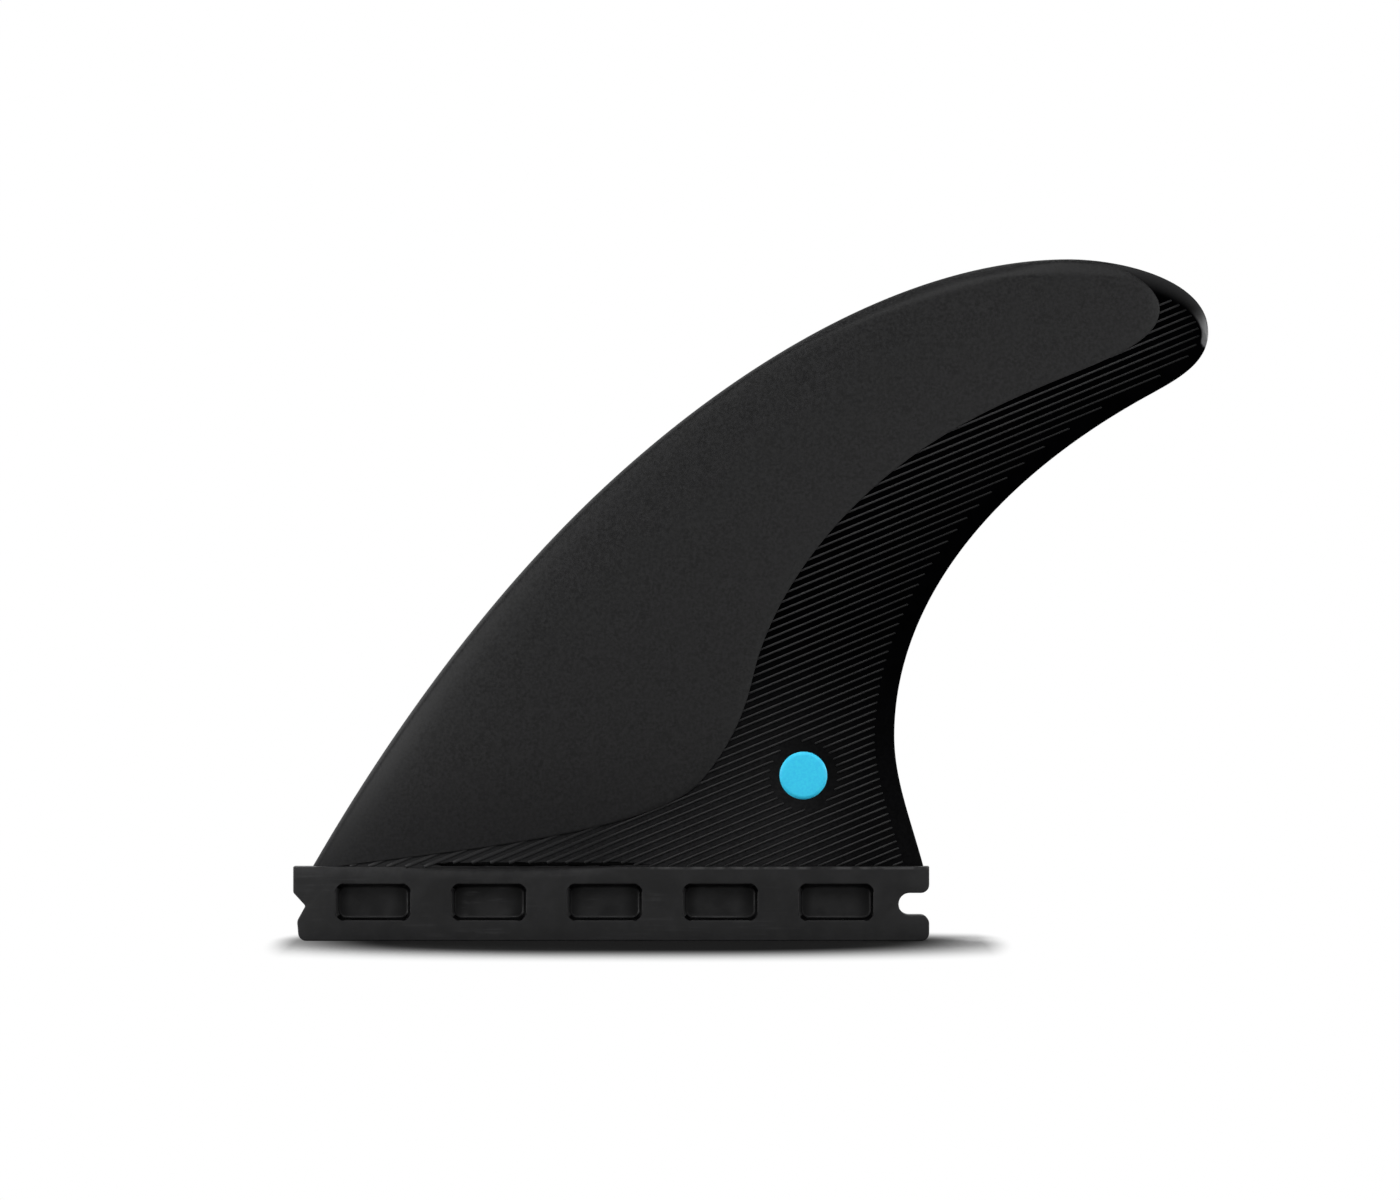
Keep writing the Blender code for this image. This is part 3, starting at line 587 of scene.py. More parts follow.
# %% The plate
def tab_corners():
    """The tab's corners in the side view, each as x, z and radius."""
    front, rear = -TAB_LENGTH / 2, TAB_LENGTH / 2
    slot_top, slot_bottom = SLOT_HEIGHT + SLOT_WIDTH / 2, SLOT_HEIGHT - SLOT_WIDTH / 2
    slot_end = rear - SLOT_DEPTH
    slot_round = 0.98 * SLOT_WIDTH / 2
    return ((front, TAB_DEPTH, 0.0), (front, NOTCH_LIP_HEIGHT, NOTCH_LIP_RADIUS),
            (front + NOTCH_DEPTH, NOTCH_APEX_HEIGHT, NOTCH_APEX_RADIUS),
            (front + NOTCH_CHIN_SETBACK, NOTCH_CHIN_HEIGHT, NOTCH_CHIN_RADIUS),
            (front + NOTCH_FOOT_SETBACK, 0.0, TAB_CORNER_RADIUS), (rear, 0.0, TAB_CORNER_RADIUS),
            (rear, slot_bottom, SLOT_MOUTH_RADIUS), (slot_end, slot_bottom, slot_round),
            (slot_end, slot_top, slot_round), (rear, slot_top, SLOT_MOUTH_RADIUS), (rear, TAB_DEPTH, 0.0))


def rounded_plate():
    """The tab's plate with rounded corners and softened rims."""
    bm = bmesh.new()
    corners = tab_corners()
    verts = [bm.verts.new((x, -TAB_THICKNESS / 2, z)) for x, z, _ in corners]
    bm.faces.new(verts).material_index = TAB
    for vert, (_, _, radius) in zip(verts, corners):
        if radius > 0:
            sides = [(edge.other_vert(vert).co - vert.co).normalized() for edge in vert.link_edges]
            reach = radius / math.tan(sides[0].angle(sides[1]) / 2)
            round_corners(bm, [vert], reach)
    pushed = bmesh.ops.extrude_face_region(bm, geom=list(bm.faces))["geom"]
    pushed = [item for item in pushed if isinstance(item, bmesh.types.BMVert)]
    bmesh.ops.translate(bm, vec=(0, TAB_THICKNESS, 0), verts=pushed)
    bmesh.ops.recalc_face_normals(bm, faces=bm.faces)
    rim = [edge for edge in bm.edges
           if abs(edge.verts[0].co.y - edge.verts[1].co.y) < 0.01 * MM
           and min(vert.co.z for vert in edge.verts) < TAB_DEPTH - 0.01 * MM]
    round_edges(bm, rim, TAB_EDGE_RADIUS)
    return bm


tab = rounded_plate()
print("plate:", len(tab.faces), "faces")

# %% The pockets
CELL_MARGIN = 0.6 * MM
POCKET_RIM_RADIUS = 0.12 * MM
POCKET_FLOOR_RADIUS = 0.3 * MM
SQUARE_ENOUGH = 0.8
row_start = -TAB_LENGTH / 2 + POCKET_FRONT_WALL
row_end = TAB_LENGTH / 2 - SLOT_DEPTH - POCKET_REAR_WALL
POCKET_LENGTH = (row_end - row_start - (POCKET_COUNT - 1) * POCKET_BRIDGE) / POCKET_COUNT
POCKET_WIDTH = TAB_DEPTH - POCKET_TOP_WALL - POCKET_FOOT_WALL
POCKET_DEPTH = (TAB_THICKNESS - POCKET_FLOOR_THICKNESS) / 2
POCKET_MIDDLE_Z = POCKET_FOOT_WALL + POCKET_WIDTH / 2
POCKET_MIDDLES = [row_start + POCKET_LENGTH / 2 + number * (POCKET_LENGTH + POCKET_BRIDGE)
                  for number in range(POCKET_COUNT)]


def cut_cells(bm):
    """Cut the plate along the sides of every pocket's cell."""
    planes = []
    for side in (-1, 1):
        planes.append(((0, 0, POCKET_MIDDLE_Z + side * (POCKET_WIDTH / 2 + CELL_MARGIN)), (0, 0, 1)))
        for middle in POCKET_MIDDLES:
            planes.append(((middle + side * (POCKET_LENGTH / 2 + CELL_MARGIN), 0, 0), (1, 0, 0)))
    for place, normal in planes:
        everything = list(bm.verts) + list(bm.edges) + list(bm.faces)
        bmesh.ops.bisect_plane(bm, geom=everything, plane_co=place, plane_no=normal, dist=0.001 * MM)


def face_at(bm, place):
    """The face whose middle is nearest to a place."""
    return min(bm.faces, key=lambda face: (face.calc_center_median() - Vector(place)).length)


def wall_finish(wall):
    """The finish of a pocket's wall, by the way it faces: rearward, down or another way, where it takes the
    black of painted shade.
    """
    wall.normal_update()
    if wall.normal.x > SQUARE_ENOUGH:
        return TAB
    if wall.normal.z < -SQUARE_ENOUGH:
        return FLOOR
    return SHADE_BLACK


def sink_pocket(bm, middle, side):
    """Inset, round, push in and taper one pocket."""
    mouth = face_at(bm, (middle, side * TAB_THICKNESS / 2, POCKET_MIDDLE_Z))
    bmesh.ops.inset_individual(bm, faces=[mouth], thickness=CELL_MARGIN, use_even_offset=True)
    round_corners(bm, list(mouth.verts), POCKET_CORNER_RADIUS)
    mouth = face_at(bm, (middle, side * TAB_THICKNESS / 2, POCKET_MIDDLE_Z))
    floor = bmesh.ops.extrude_discrete_faces(bm, faces=[mouth])["faces"][0]
    centre = Matrix.Translation((-middle, 0, -POCKET_MIDDLE_Z))
    taper = (1 - 2 * POCKET_DRAFT / POCKET_LENGTH, 1.0, 1 - 2 * POCKET_DRAFT / POCKET_WIDTH)
    bmesh.ops.scale(bm, vec=taper, space=centre, verts=floor.verts)
    bmesh.ops.translate(bm, vec=(0, -side * POCKET_DEPTH, 0), verts=floor.verts)
    floor_edges = list(floor.edges)
    walls = {face for edge in floor_edges for face in edge.link_faces} - {floor}
    mouth_edges = [edge for wall in walls for edge in wall.edges
                   if all(abs(abs(vert.co.y) - TAB_THICKNESS / 2) < 0.01 * MM for vert in edge.verts)]
    floor.material_index = FLOOR
    for wall in walls:
        wall.material_index = wall_finish(wall)
    round_edges(bm, mouth_edges, POCKET_RIM_RADIUS)
    round_edges(bm, floor_edges, POCKET_FLOOR_RADIUS, FLOOR)


cut_cells(tab)
for middle in POCKET_MIDDLES:
    for side in (-1, 1):
        sink_pocket(tab, middle, side)
for face in tab.faces:
    face.smooth = True
print("tab:", len(tab.faces), "faces, open edges:", sum(edge.is_boundary for edge in tab.edges))

# %% [markdown]
# ## The printed dot
#
# A small plain disc of bright ink marks the round pad between the ribs. Spinning a short line of
# points round the pad's centre makes rings, which are then laid on the surface, and the outer ring
# is extruded inwards so that the ink has an edge and no gap under it.

# %% Spin the dot
DOT_RADIUS = 4.3 * MM
DOT_RINGS = 6
DOT_STEPS = 72
INK_THICKNESS = 0.03 * MM


def printed_dot():
    """A thin round disc that follows the blade's surface."""
    bm = bmesh.new()
    line = [bm.verts.new((PAD[0] + DOT_RADIUS * ring / DOT_RINGS, 0, PAD[1]))
            for ring in range(DOT_RINGS + 1)]
    edges = [bm.edges.new(pair) for pair in zip(line, line[1:])]
    bmesh.ops.spin(bm, geom=line + edges, cent=(PAD[0], 0, PAD[1]), axis=(0, 1, 0), angle=2 * math.pi,
                   steps=DOT_STEPS, use_merge=True)
    bmesh.ops.remove_doubles(bm, verts=bm.verts, dist=0.001 * MM)
    places = np.array([(vert.co.x, vert.co.z) for vert in bm.verts])
    surface = flat_side_y(places[:, 1]) - outer_offset(places, 0.0)
    for vert, y in zip(bm.verts, surface):
        vert.co = (vert.co.x, y - INK_THICKNESS, vert.co.z + TAB_DEPTH)
    rim = [edge for edge in bm.edges if edge.is_boundary]
    skirt = bmesh.ops.extrude_edge_only(bm, edges=rim)["geom"]
    skirt = [item for item in skirt if isinstance(item, bmesh.types.BMVert)]
    bmesh.ops.translate(bm, vec=(0, 2 * INK_THICKNESS, 0), verts=skirt)
    bmesh.ops.holes_fill(bm, edges=[edge for edge in bm.edges if edge.is_boundary], sides=0)
    bmesh.ops.recalc_face_normals(bm, faces=bm.faces)
    for face in bm.faces:
        face.smooth = True
    return bm


dot = printed_dot()
print("dot:", len(dot.faces), "faces")


# %% [markdown]
# ## Shader groups
#
# Two effects are shared by several finishes, so each is a node group. Grain is the fine texture that
# the mould leaves: it puts out a value for colour and roughness and a height for the bump. Scuffs
# are the long faint marks and cloudy patches that handling and the box leave on the compound.

# %% Group helpers
def new_group(name, inputs, outputs):
    """A shader node group with named float inputs, given with their defaults, and float outputs."""
    group = bpy.data.node_groups.new(name, "ShaderNodeTree")
    for label, value in inputs.items():
        socket = group.interface.new_socket(label, in_out="INPUT", socket_type="NodeSocketFloat")
        socket.default_value = value
    for label in outputs:
        group.interface.new_socket(label, in_out="OUTPUT", socket_type="NodeSocketFloat")
    return group, group.nodes.new("NodeGroupInput"), group.nodes.new("NodeGroupOutput")


def add_noise(group, coordinates, scale, detail, roughness):
    """A noise texture on the given coordinates. The scale may be a number or a socket."""
    noise = group.nodes.new("ShaderNodeTexNoise")
    group.links.new(coordinates, noise.inputs["Vector"])
    if isinstance(scale, (int, float)):
        noise.inputs["Scale"].default_value = scale
    else:
        group.links.new(scale, noise.inputs["Scale"])
    noise.inputs["Detail"].default_value = detail
    noise.inputs["Roughness"].default_value = roughness
    return noise.outputs["Fac"]


def add_math(group, operation, first, second):
    """A math node. Each value may be a number or a socket."""
    node = group.nodes.new("ShaderNodeMath")
    node.operation = operation
    for index, value in enumerate((first, second)):
        if isinstance(value, (int, float)):
            node.inputs[index].default_value = value
        else:
            group.links.new(value, node.inputs[index])
    return node.outputs[0]


def add_ramp(group, value, low, high):
    """A smooth 0 to 1 ramp of a value between two limits."""
    node = group.nodes.new("ShaderNodeMapRange")
    node.interpolation_type = "SMOOTHSTEP"
    group.links.new(value, node.inputs["Value"])
    node.inputs["From Min"].default_value = low
    node.inputs["From Max"].default_value = high
    return node.outputs["Result"]


def object_place(group):
    """A place on the object, in metres."""
    return group.nodes.new("ShaderNodeTexCoord").outputs["Object"]


def place_axes(group):
    """The X, Y and Z of a place on the object, in metres."""
    apart = group.nodes.new("ShaderNodeSeparateXYZ")
    group.links.new(object_place(group), apart.inputs[0])
    return apart.outputs


# %% The grain group
def grain_group():
    """Fine moulded texture: a speckle for colour and roughness, and a height."""
    group, given, result = new_group("moulded_grain", {"Scale": 2600.0, "Patch Scale": 90.0},
                                     ("Speckle", "Patches", "Height"))
    place = object_place(group)
    fine = add_noise(group, place, given.outputs["Scale"], detail=3.0, roughness=0.6)
    cloudy = add_noise(group, place, given.outputs["Patch Scale"], detail=4.0, roughness=0.55)
    group.links.new(add_ramp(group, fine, low=0.3, high=0.7), result.inputs["Speckle"])
    group.links.new(add_ramp(group, cloudy, low=0.35, high=0.65), result.inputs["Patches"])
    group.links.new(fine, result.inputs["Height"])
    return group


def scuff_group():
    """Long faint marks along X, broken up by patches."""
    group, given, result = new_group("handling_scuffs", {"Length": 60.0, "Width": 1400.0}, ("Scuffs",))
    place = object_place(group)
    axes = place_axes(group)
    stretched = group.nodes.new("ShaderNodeCombineXYZ")
    for axis, amount in (("X", "Length"), ("Y", "Width"), ("Z", "Width")):
        product = add_math(group, "MULTIPLY", axes[axis], given.outputs[amount])
        group.links.new(product, stretched.inputs[axis])
    lines = add_noise(group, stretched.outputs[0], scale=1.0, detail=4.0, roughness=0.6)
    cloudy = add_noise(group, place, scale=110.0, detail=2.0, roughness=0.5)
    streaks = add_ramp(group, lines, low=0.52, high=0.72)
    patches = add_ramp(group, cloudy, low=0.45, high=0.65)
    group.links.new(add_math(group, "MULTIPLY", streaks, patches), result.inputs["Scuffs"])
    return group


GRAIN = grain_group()
SCUFFS = scuff_group()
print("groups:", GRAIN.name, SCUFFS.name)


# %% [markdown]
# ## Finishes
#
# All of the fin is one near-black compound, but the mould gives it different surfaces. The panel and
# the inner side are matte, and a painted sheen greys them near the base. The field behind the panel
# is polished, so it goes almost black, and only greys near the base, where a painted sheen lies on
# it. Round the tip its edge is satin, with a painted highlight at the nose. The ribs are polished
# too, and catch the light as fine lines; painted shade darkens them to the rear, and the painted
# sheen greys them near the base. The tab is duller and scuffed, with painted light low down and high
# up in front, and a painted highlight along its top edge. Its pockets have darker floors and top
# walls, with painted shade black at a pocket's ends, their front walls are like the tab's face, and
# the other walls are black with painted shade, as is the thin gap under the blade's foot. Masks for
# all of this come from the place on the fin, or from an attribute laid in its vertices. A mask of
# places has its two limits in metres, and rises from 0 at the first to 1 at the second, whichever is
# the higher.

# %% Material helpers
def new_finish(name, roughness, specular):
    """A material with its Principled BSDF, whose constant values are set on the shader itself."""
    material = bpy.data.materials.new(name)
    material.use_nodes = True
    shader = material.node_tree.nodes["Principled BSDF"]
    shader.inputs["Roughness"].default_value = roughness
    shader.inputs["Specular IOR Level"].default_value = specular
    return material, material.node_tree, shader


def use_group(tree, group, **values):
    """Place a group in a material with its own values."""
    node = tree.nodes.new("ShaderNodeGroup")
    node.node_tree = group
    for label, value in values.items():
        node.inputs[label.replace("_", " ")].default_value = value
    return node


def blend_colours(tree, factor, first, second):
    """Mix two colours by a factor. Each colour may be a tuple or a socket."""
    node = tree.nodes.new("ShaderNodeMix")
    node.data_type = "RGBA"
    tree.links.new(factor, node.inputs["Factor"])
    for socket, value in ((node.inputs[6], first), (node.inputs[7], second)):
        if isinstance(value, tuple):
            socket.default_value = (*value, 1.0)
        else:
            tree.links.new(value, socket)
    return node.outputs[2]


def add_bump(tree, shader, height, strength, distance):
    """Drive the shader's normal by a height."""
    bump = tree.nodes.new("ShaderNodeBump")
    bump.inputs["Strength"].default_value = strength
    bump.inputs["Distance"].default_value = distance
    tree.links.new(height, bump.inputs["Height"])
    tree.links.new(bump.outputs["Normal"], shader.inputs["Normal"])


def vary_roughness(tree, shader, value, low, high):
    """Let a 0 to 1 value move the roughness between two limits."""
    node = tree.nodes.new("ShaderNodeMapRange")
    tree.links.new(value, node.inputs["Value"])
    node.inputs["To Min"].default_value = low
    node.inputs["To Max"].default_value = high
    tree.links.new(node.outputs["Result"], shader.inputs["Roughness"])


# %% Colours of the finishes
PANEL_DARK = (0.0048, 0.0048, 0.0050)
PANEL_LIGHT = (0.0142, 0.0142, 0.0147)
PANEL_CLOUD = (0.0115, 0.0115, 0.0119)
# Grey of a painted sheen near the base, on the panel and at the field's front corner.
PAINTED_SHEEN_GREY = (0.0240, 0.0240, 0.0247)
FIELD_BLACK = (0.0002, 0.0002, 0.0003)
FIELD_CLOUD = (0.0005, 0.0005, 0.0007)
# Painted sheen on the field near the base.
PAINTED_SHEEN_DARK = (0.0135, 0.0135, 0.0140)
PAINTED_SHEEN_LIGHT = (0.0215, 0.0215, 0.0222)
TIP_GREY = (0.025, 0.025, 0.0255)
# Bright grey of a painted highlight at the nose.
NOSE_PAINTED_HIGHLIGHT = (0.085, 0.085, 0.087)
RIB_DARK = (0.0150, 0.0150, 0.0155)
RIB_LIGHT = (0.0205, 0.0205, 0.0210)
# The ribs' grey in the painted sheen near the base and at the front corner.
PAINTED_SHEEN_RIB = (0.0175, 0.0175, 0.0180)
CORNER_SHEEN_RIB = (0.0250, 0.0250, 0.0257)
# Black of painted shade: on the ribs to the rear, and at a pocket's ends.
PAINTED_SHADE_BLACK = (0.0035, 0.0035, 0.0037)
TAB_DARK = (0.0155, 0.0155, 0.0160)
TAB_LIGHT = (0.0215, 0.0215, 0.0221)
# The tab's lighter lower part: painted light.
TAB_PAINTED_LIGHT = (0.0200, 0.0200, 0.0206)
TAB_CHIP = (0.0130, 0.0130, 0.0134)
SCUFF_GREY = (0.030, 0.030, 0.031)
# Painted light high up on the tab's front, where the blade's foot shades it.
SHOULDER_PAINTED_LIGHT = (0.036, 0.036, 0.037)
# A painted highlight along the tab's top edge.
TOP_EDGE_PAINTED_HIGHLIGHT = (0.060, 0.060, 0.061)
POCKET_DARK = (0.0120, 0.0120, 0.0124)
POCKET_LIGHT = (0.0170, 0.0170, 0.0175)
# The black of painted shade in the pockets' walls and the gap under the foot.
PAINTED_SHADE_DARK = (0.0006, 0.0006, 0.0007)
PAINTED_SHADE_LIGHT = (0.0018, 0.0018, 0.0020)
INK_DEEP = (0.038, 0.62, 0.97)
INK_PALE = (0.048, 0.70, 1.0)

# %% Limits of the masks
# Where the painted sheen lies: on the panel, and on the field and the ribs.
PANEL_SHEEN_HEIGHT = (0.012, 0.038)
PAINTED_SHEEN_HEIGHT = (0.058, 0.006)
PAINTED_SHEEN_REAR = (0.028, 0.048)
FRONT_CORNER = (-0.002, -0.032)
# Where the painted highlight sits at the nose.
NOSE_HEIGHT = (0.1138, 0.1098)
SOFT_SATIN = (0.0, 1.25)
# The band of the painted highlight at the nose.
NOSE_HIGHLIGHT_BAND = (0.08, 0.38)
# Where painted shade darkens the ribs to the rear.
RIB_REAR_SHARE = (0.0, 0.9)
RIB_REAR_HEIGHT = (0.02, 0.065)
RIB_TIP_HEIGHT = (0.096, 0.114)
# Where painted light lifts the tab: low down, high up in front, and in a highlight along its top edge.
TAB_PAINTED_LIGHT_HEIGHT = (0.0105, 0.001)
SHOULDER_HEIGHT = (0.0108, 0.0133)
SHOULDER_FRONT = (0.004, -0.006)
TOP_EDGE_HIGHLIGHT_HEIGHT = (0.0127, 0.0131)
TOP_EDGE_HIGHLIGHT_REAR = (-0.002, 0.012)
TOP_EDGE_HIGHLIGHT_FACE = (-0.0028, -0.0031)
# Where painted shade blackens a pocket's ends.
POCKET_FRONT_END = (0.3 * MM, 2.8 * MM)
POCKET_REAR_END = (POCKET_LENGTH - 0.8 * MM, POCKET_LENGTH - 4.2 * MM)

# %% Shares of the effects
PANEL_CLOUDING = 0.35
# Share of the painted sheen on the panel.
PANEL_PAINTED_SHEEN = 0.5
PANEL_LEAST_SHINE = 0.03
PANEL_SHINE_RISE = 0.17
# Share of the painted sheen lost to the rear.
PAINTED_SHEEN_LOST_BEHIND = 0.75
FIELD_SHINE = 0.003
TIP_SHINE = 0.05
NOSE_SHINE = 0.4
RIB_SHINE = 0.107
RIB_SHINE_LOST_BEHIND = 0.035
RIB_SHINE_LOST_AT_TIP = 0.03
CHIPPING = 0.35
TAB_CLOUD_HEIGHT = 1.2


# %% The matte panel
def matte_finish():
    """The satin-matte skin of the raised panel and the inner side, duller near the base, where a painted
    sheen makes it greyer.
    """
    material, tree, shader = new_finish("matte_panel", roughness=0.6, specular=0.2)
    grain = use_group(tree, GRAIN, Scale=1700.0, Patch_Scale=330.0)
    speckled = blend_colours(tree, grain.outputs["Speckle"], PANEL_DARK, PANEL_LIGHT)
    faint = add_math(tree, "MULTIPLY", grain.outputs["Patches"], PANEL_CLOUDING)
    clouded = blend_colours(tree, faint, speckled, PANEL_CLOUD)
    rise = add_ramp(tree, place_axes(tree)["Z"], *PANEL_SHEEN_HEIGHT)
    # A painted sheen greys the skin towards the base.
    painted_sheen_share = add_math(tree, "MULTIPLY", add_math(tree, "SUBTRACT", 1.0, rise), PANEL_PAINTED_SHEEN)
    worn = blend_colours(tree, painted_sheen_share, clouded, PAINTED_SHEEN_GREY)
    tree.links.new(worn, shader.inputs["Base Color"])
    gained = add_math(tree, "MULTIPLY", rise, PANEL_SHINE_RISE)
    shine = add_math(tree, "ADD", PANEL_LEAST_SHINE, gained)
    tree.links.new(shine, shader.inputs["Specular IOR Level"])
    vary_roughness(tree, shader, grain.outputs["Speckle"], low=0.44, high=0.54)
    add_bump(tree, shader, grain.outputs["Height"], strength=0.6, distance=0.03 * MM)
    return material


# %% The black field and its ribs
def painted_base_sheen(tree):
    """Painted sheen masks near the base: one that fades up the blade and to the rear, one for the front
    corner.
    """
    axes = place_axes(tree)
    low = add_ramp(tree, axes["Z"], *PAINTED_SHEEN_HEIGHT)
    behind = add_math(tree, "MULTIPLY", add_ramp(tree, axes["X"], *PAINTED_SHEEN_REAR), PAINTED_SHEEN_LOST_BEHIND)
    corner = add_ramp(tree, axes["X"], *FRONT_CORNER)
    return add_math(tree, "MULTIPLY", low, add_math(tree, "SUBTRACT", 1.0, behind)), corner


def vertex_value(tree, name):
    """A value that is laid in the fin's vertices."""
    node = tree.nodes.new("ShaderNodeAttribute")
    node.attribute_name = name
    return node.outputs["Fac"]


def satin_and_highlight_mask(tree, nose):
    """The mask of the tip's satin edge: soft along the top, and crisp at the nose and below it, where it
    shapes a painted highlight.
    """
    near_edge = vertex_value(tree, "tip_satin")
    soft = add_ramp(tree, near_edge, *SOFT_SATIN)
    crisp = add_ramp(tree, near_edge, *NOSE_HIGHLIGHT_BAND)
    crisper = add_math(tree, "MULTIPLY", nose, add_math(tree, "SUBTRACT", crisp, soft))
    return add_math(tree, "ADD", soft, crisper)


def field_finish():
    """The polished black field, greyed near the base by a painted sheen, with the tip's rounded edge left
    satin and a painted highlight at the nose.
    """
    material, tree, shader = new_finish("polished_field", roughness=0.3, specular=FIELD_SHINE)
    grain = use_group(tree, GRAIN, Scale=1700.0, Patch_Scale=330.0)
    # A painted sheen greys the field near the base and at its front corner.
    painted_sheen, corner = painted_base_sheen(tree)
    painted_sheen_colour = blend_colours(tree, grain.outputs["Speckle"], PAINTED_SHEEN_DARK, PAINTED_SHEEN_LIGHT)
    painted_sheen_colour = blend_colours(tree, corner, painted_sheen_colour, PAINTED_SHEEN_GREY)
    black = blend_colours(tree, grain.outputs["Patches"], FIELD_BLACK, FIELD_CLOUD)
    ground = blend_colours(tree, painted_sheen, black, painted_sheen_colour)
    # At the nose and below it, the tip's edge carries a painted highlight.
    nose = add_ramp(tree, place_axes(tree)["Z"], *NOSE_HEIGHT)
    satin = satin_and_highlight_mask(tree, nose)
    edge = blend_colours(tree, nose, TIP_GREY, NOSE_PAINTED_HIGHLIGHT)
    tree.links.new(blend_colours(tree, satin, ground, edge), shader.inputs["Base Color"])
    edge_shine = add_math(tree, "ADD", add_math(tree, "MULTIPLY", nose, NOSE_SHINE), TIP_SHINE)
    shine = add_math(tree, "MAXIMUM", add_math(tree, "MULTIPLY", satin, edge_shine), FIELD_SHINE)
    tree.links.new(shine, shader.inputs["Specular IOR Level"])
    vary_roughness(tree, shader, nose, low=0.3, high=0.2)
    add_bump(tree, shader, grain.outputs["Height"], strength=0.3, distance=0.02 * MM)
    return material


def rib_finish():
    """The polished ribs: painted shade darkens them to the rear, they are less shiny to the rear and at the
    tip, and a painted sheen greys them near the base.
    """
    material, tree, shader = new_finish("polished_ribs", roughness=0.3, specular=RIB_SHINE)
    grain = use_group(tree, GRAIN, Scale=3000.0, Patch_Scale=330.0)
    # A painted sheen greys the ribs near the base.
    painted_sheen, corner = painted_base_sheen(tree)
    axes = place_axes(tree)
    # Painted shade darkens the ribs to the rear.
    across = add_ramp(tree, vertex_value(tree, "across_field"), *RIB_REAR_SHARE)
    rearward = add_math(tree, "MULTIPLY", across, add_ramp(tree, axes["Z"], *RIB_REAR_HEIGHT))
    tip = add_ramp(tree, axes["Z"], *RIB_TIP_HEIGHT)
    bright = blend_colours(tree, grain.outputs["Patches"], RIB_DARK, RIB_LIGHT)
    shaded_to_rear = blend_colours(tree, rearward, bright, PAINTED_SHADE_BLACK)
    lost_behind = add_math(tree, "MULTIPLY", rearward, RIB_SHINE_LOST_BEHIND)
    lost_at_tip = add_math(tree, "MULTIPLY", tip, RIB_SHINE_LOST_AT_TIP)
    shine = add_math(tree, "SUBTRACT", RIB_SHINE, lost_behind)
    shine = add_math(tree, "SUBTRACT", shine, lost_at_tip)
    tree.links.new(shine, shader.inputs["Specular IOR Level"])
    # The ribs' colour in the painted sheen.
    worn = blend_colours(tree, corner, PAINTED_SHEEN_RIB, CORNER_SHEEN_RIB)
    tree.links.new(blend_colours(tree, painted_sheen, shaded_to_rear, worn), shader.inputs["Base Color"])
    vary_roughness(tree, shader, grain.outputs["Speckle"], low=0.26, high=0.4)
    add_bump(tree, shader, grain.outputs["Height"], strength=0.3, distance=0.02 * MM)
    return material


# %% The tab's compound and the ink
def tab_finish():
    """The duller compound of the tab, clouded, chipped and scuffed, lighter low down and high up in front,
    which is painted light, and with a painted highlight along its top edge.
    """
    material, tree, shader = new_finish("tab_compound", roughness=0.55, specular=0.18)
    grain = use_group(tree, GRAIN, Scale=1500.0, Patch_Scale=140.0)
    scuffs = use_group(tree, SCUFFS, Length=70.0, Width=1500.0)
    chips = use_group(tree, GRAIN, Scale=900.0, Patch_Scale=520.0)
    axes = place_axes(tree)
    # Painted light makes the tab's lower part lighter.
    foot = add_ramp(tree, axes["Z"], *TAB_PAINTED_LIGHT_HEIGHT)
    clouded = blend_colours(tree, grain.outputs["Patches"], TAB_DARK, TAB_LIGHT)
    worn = blend_colours(tree, foot, clouded, TAB_PAINTED_LIGHT)
    marked = blend_colours(tree, scuffs.outputs["Scuffs"], worn, SCUFF_GREY)
    # Painted light lifts the top of the tab's front, where the blade's foot shades it.
    shoulder = add_math(tree, "MULTIPLY", add_ramp(tree, axes["Z"], *SHOULDER_HEIGHT),
                        add_ramp(tree, axes["X"], *SHOULDER_FRONT))
    marked = blend_colours(tree, shoulder, marked, SHOULDER_PAINTED_LIGHT)
    chipped = add_math(tree, "MULTIPLY", chips.outputs["Patches"], CHIPPING)
    marked = blend_colours(tree, chipped, marked, TAB_CHIP)
    # A painted highlight runs along the tab's top edge at the rear, broken up by patches.
    edge = add_math(tree, "MULTIPLY", add_ramp(tree, axes["Z"], *TOP_EDGE_HIGHLIGHT_HEIGHT),
                    add_ramp(tree, axes["X"], *TOP_EDGE_HIGHLIGHT_REAR))
    edge = add_math(tree, "MULTIPLY", edge, add_ramp(tree, axes["Y"], *TOP_EDGE_HIGHLIGHT_FACE))
    edge_highlight = add_math(tree, "MULTIPLY", edge, chips.outputs["Patches"])
    tree.links.new(blend_colours(tree, edge_highlight, marked, TOP_EDGE_PAINTED_HIGHLIGHT), shader.inputs["Base Color"])
    vary_roughness(tree, shader, grain.outputs["Patches"], low=0.48, high=0.62)
    cloud_height = add_math(tree, "MULTIPLY", grain.outputs["Patches"], TAB_CLOUD_HEIGHT)
    height = add_math(tree, "ADD", grain.outputs["Height"], cloud_height)
    add_bump(tree, shader, height, strength=0.4, distance=0.03 * MM)
    return material


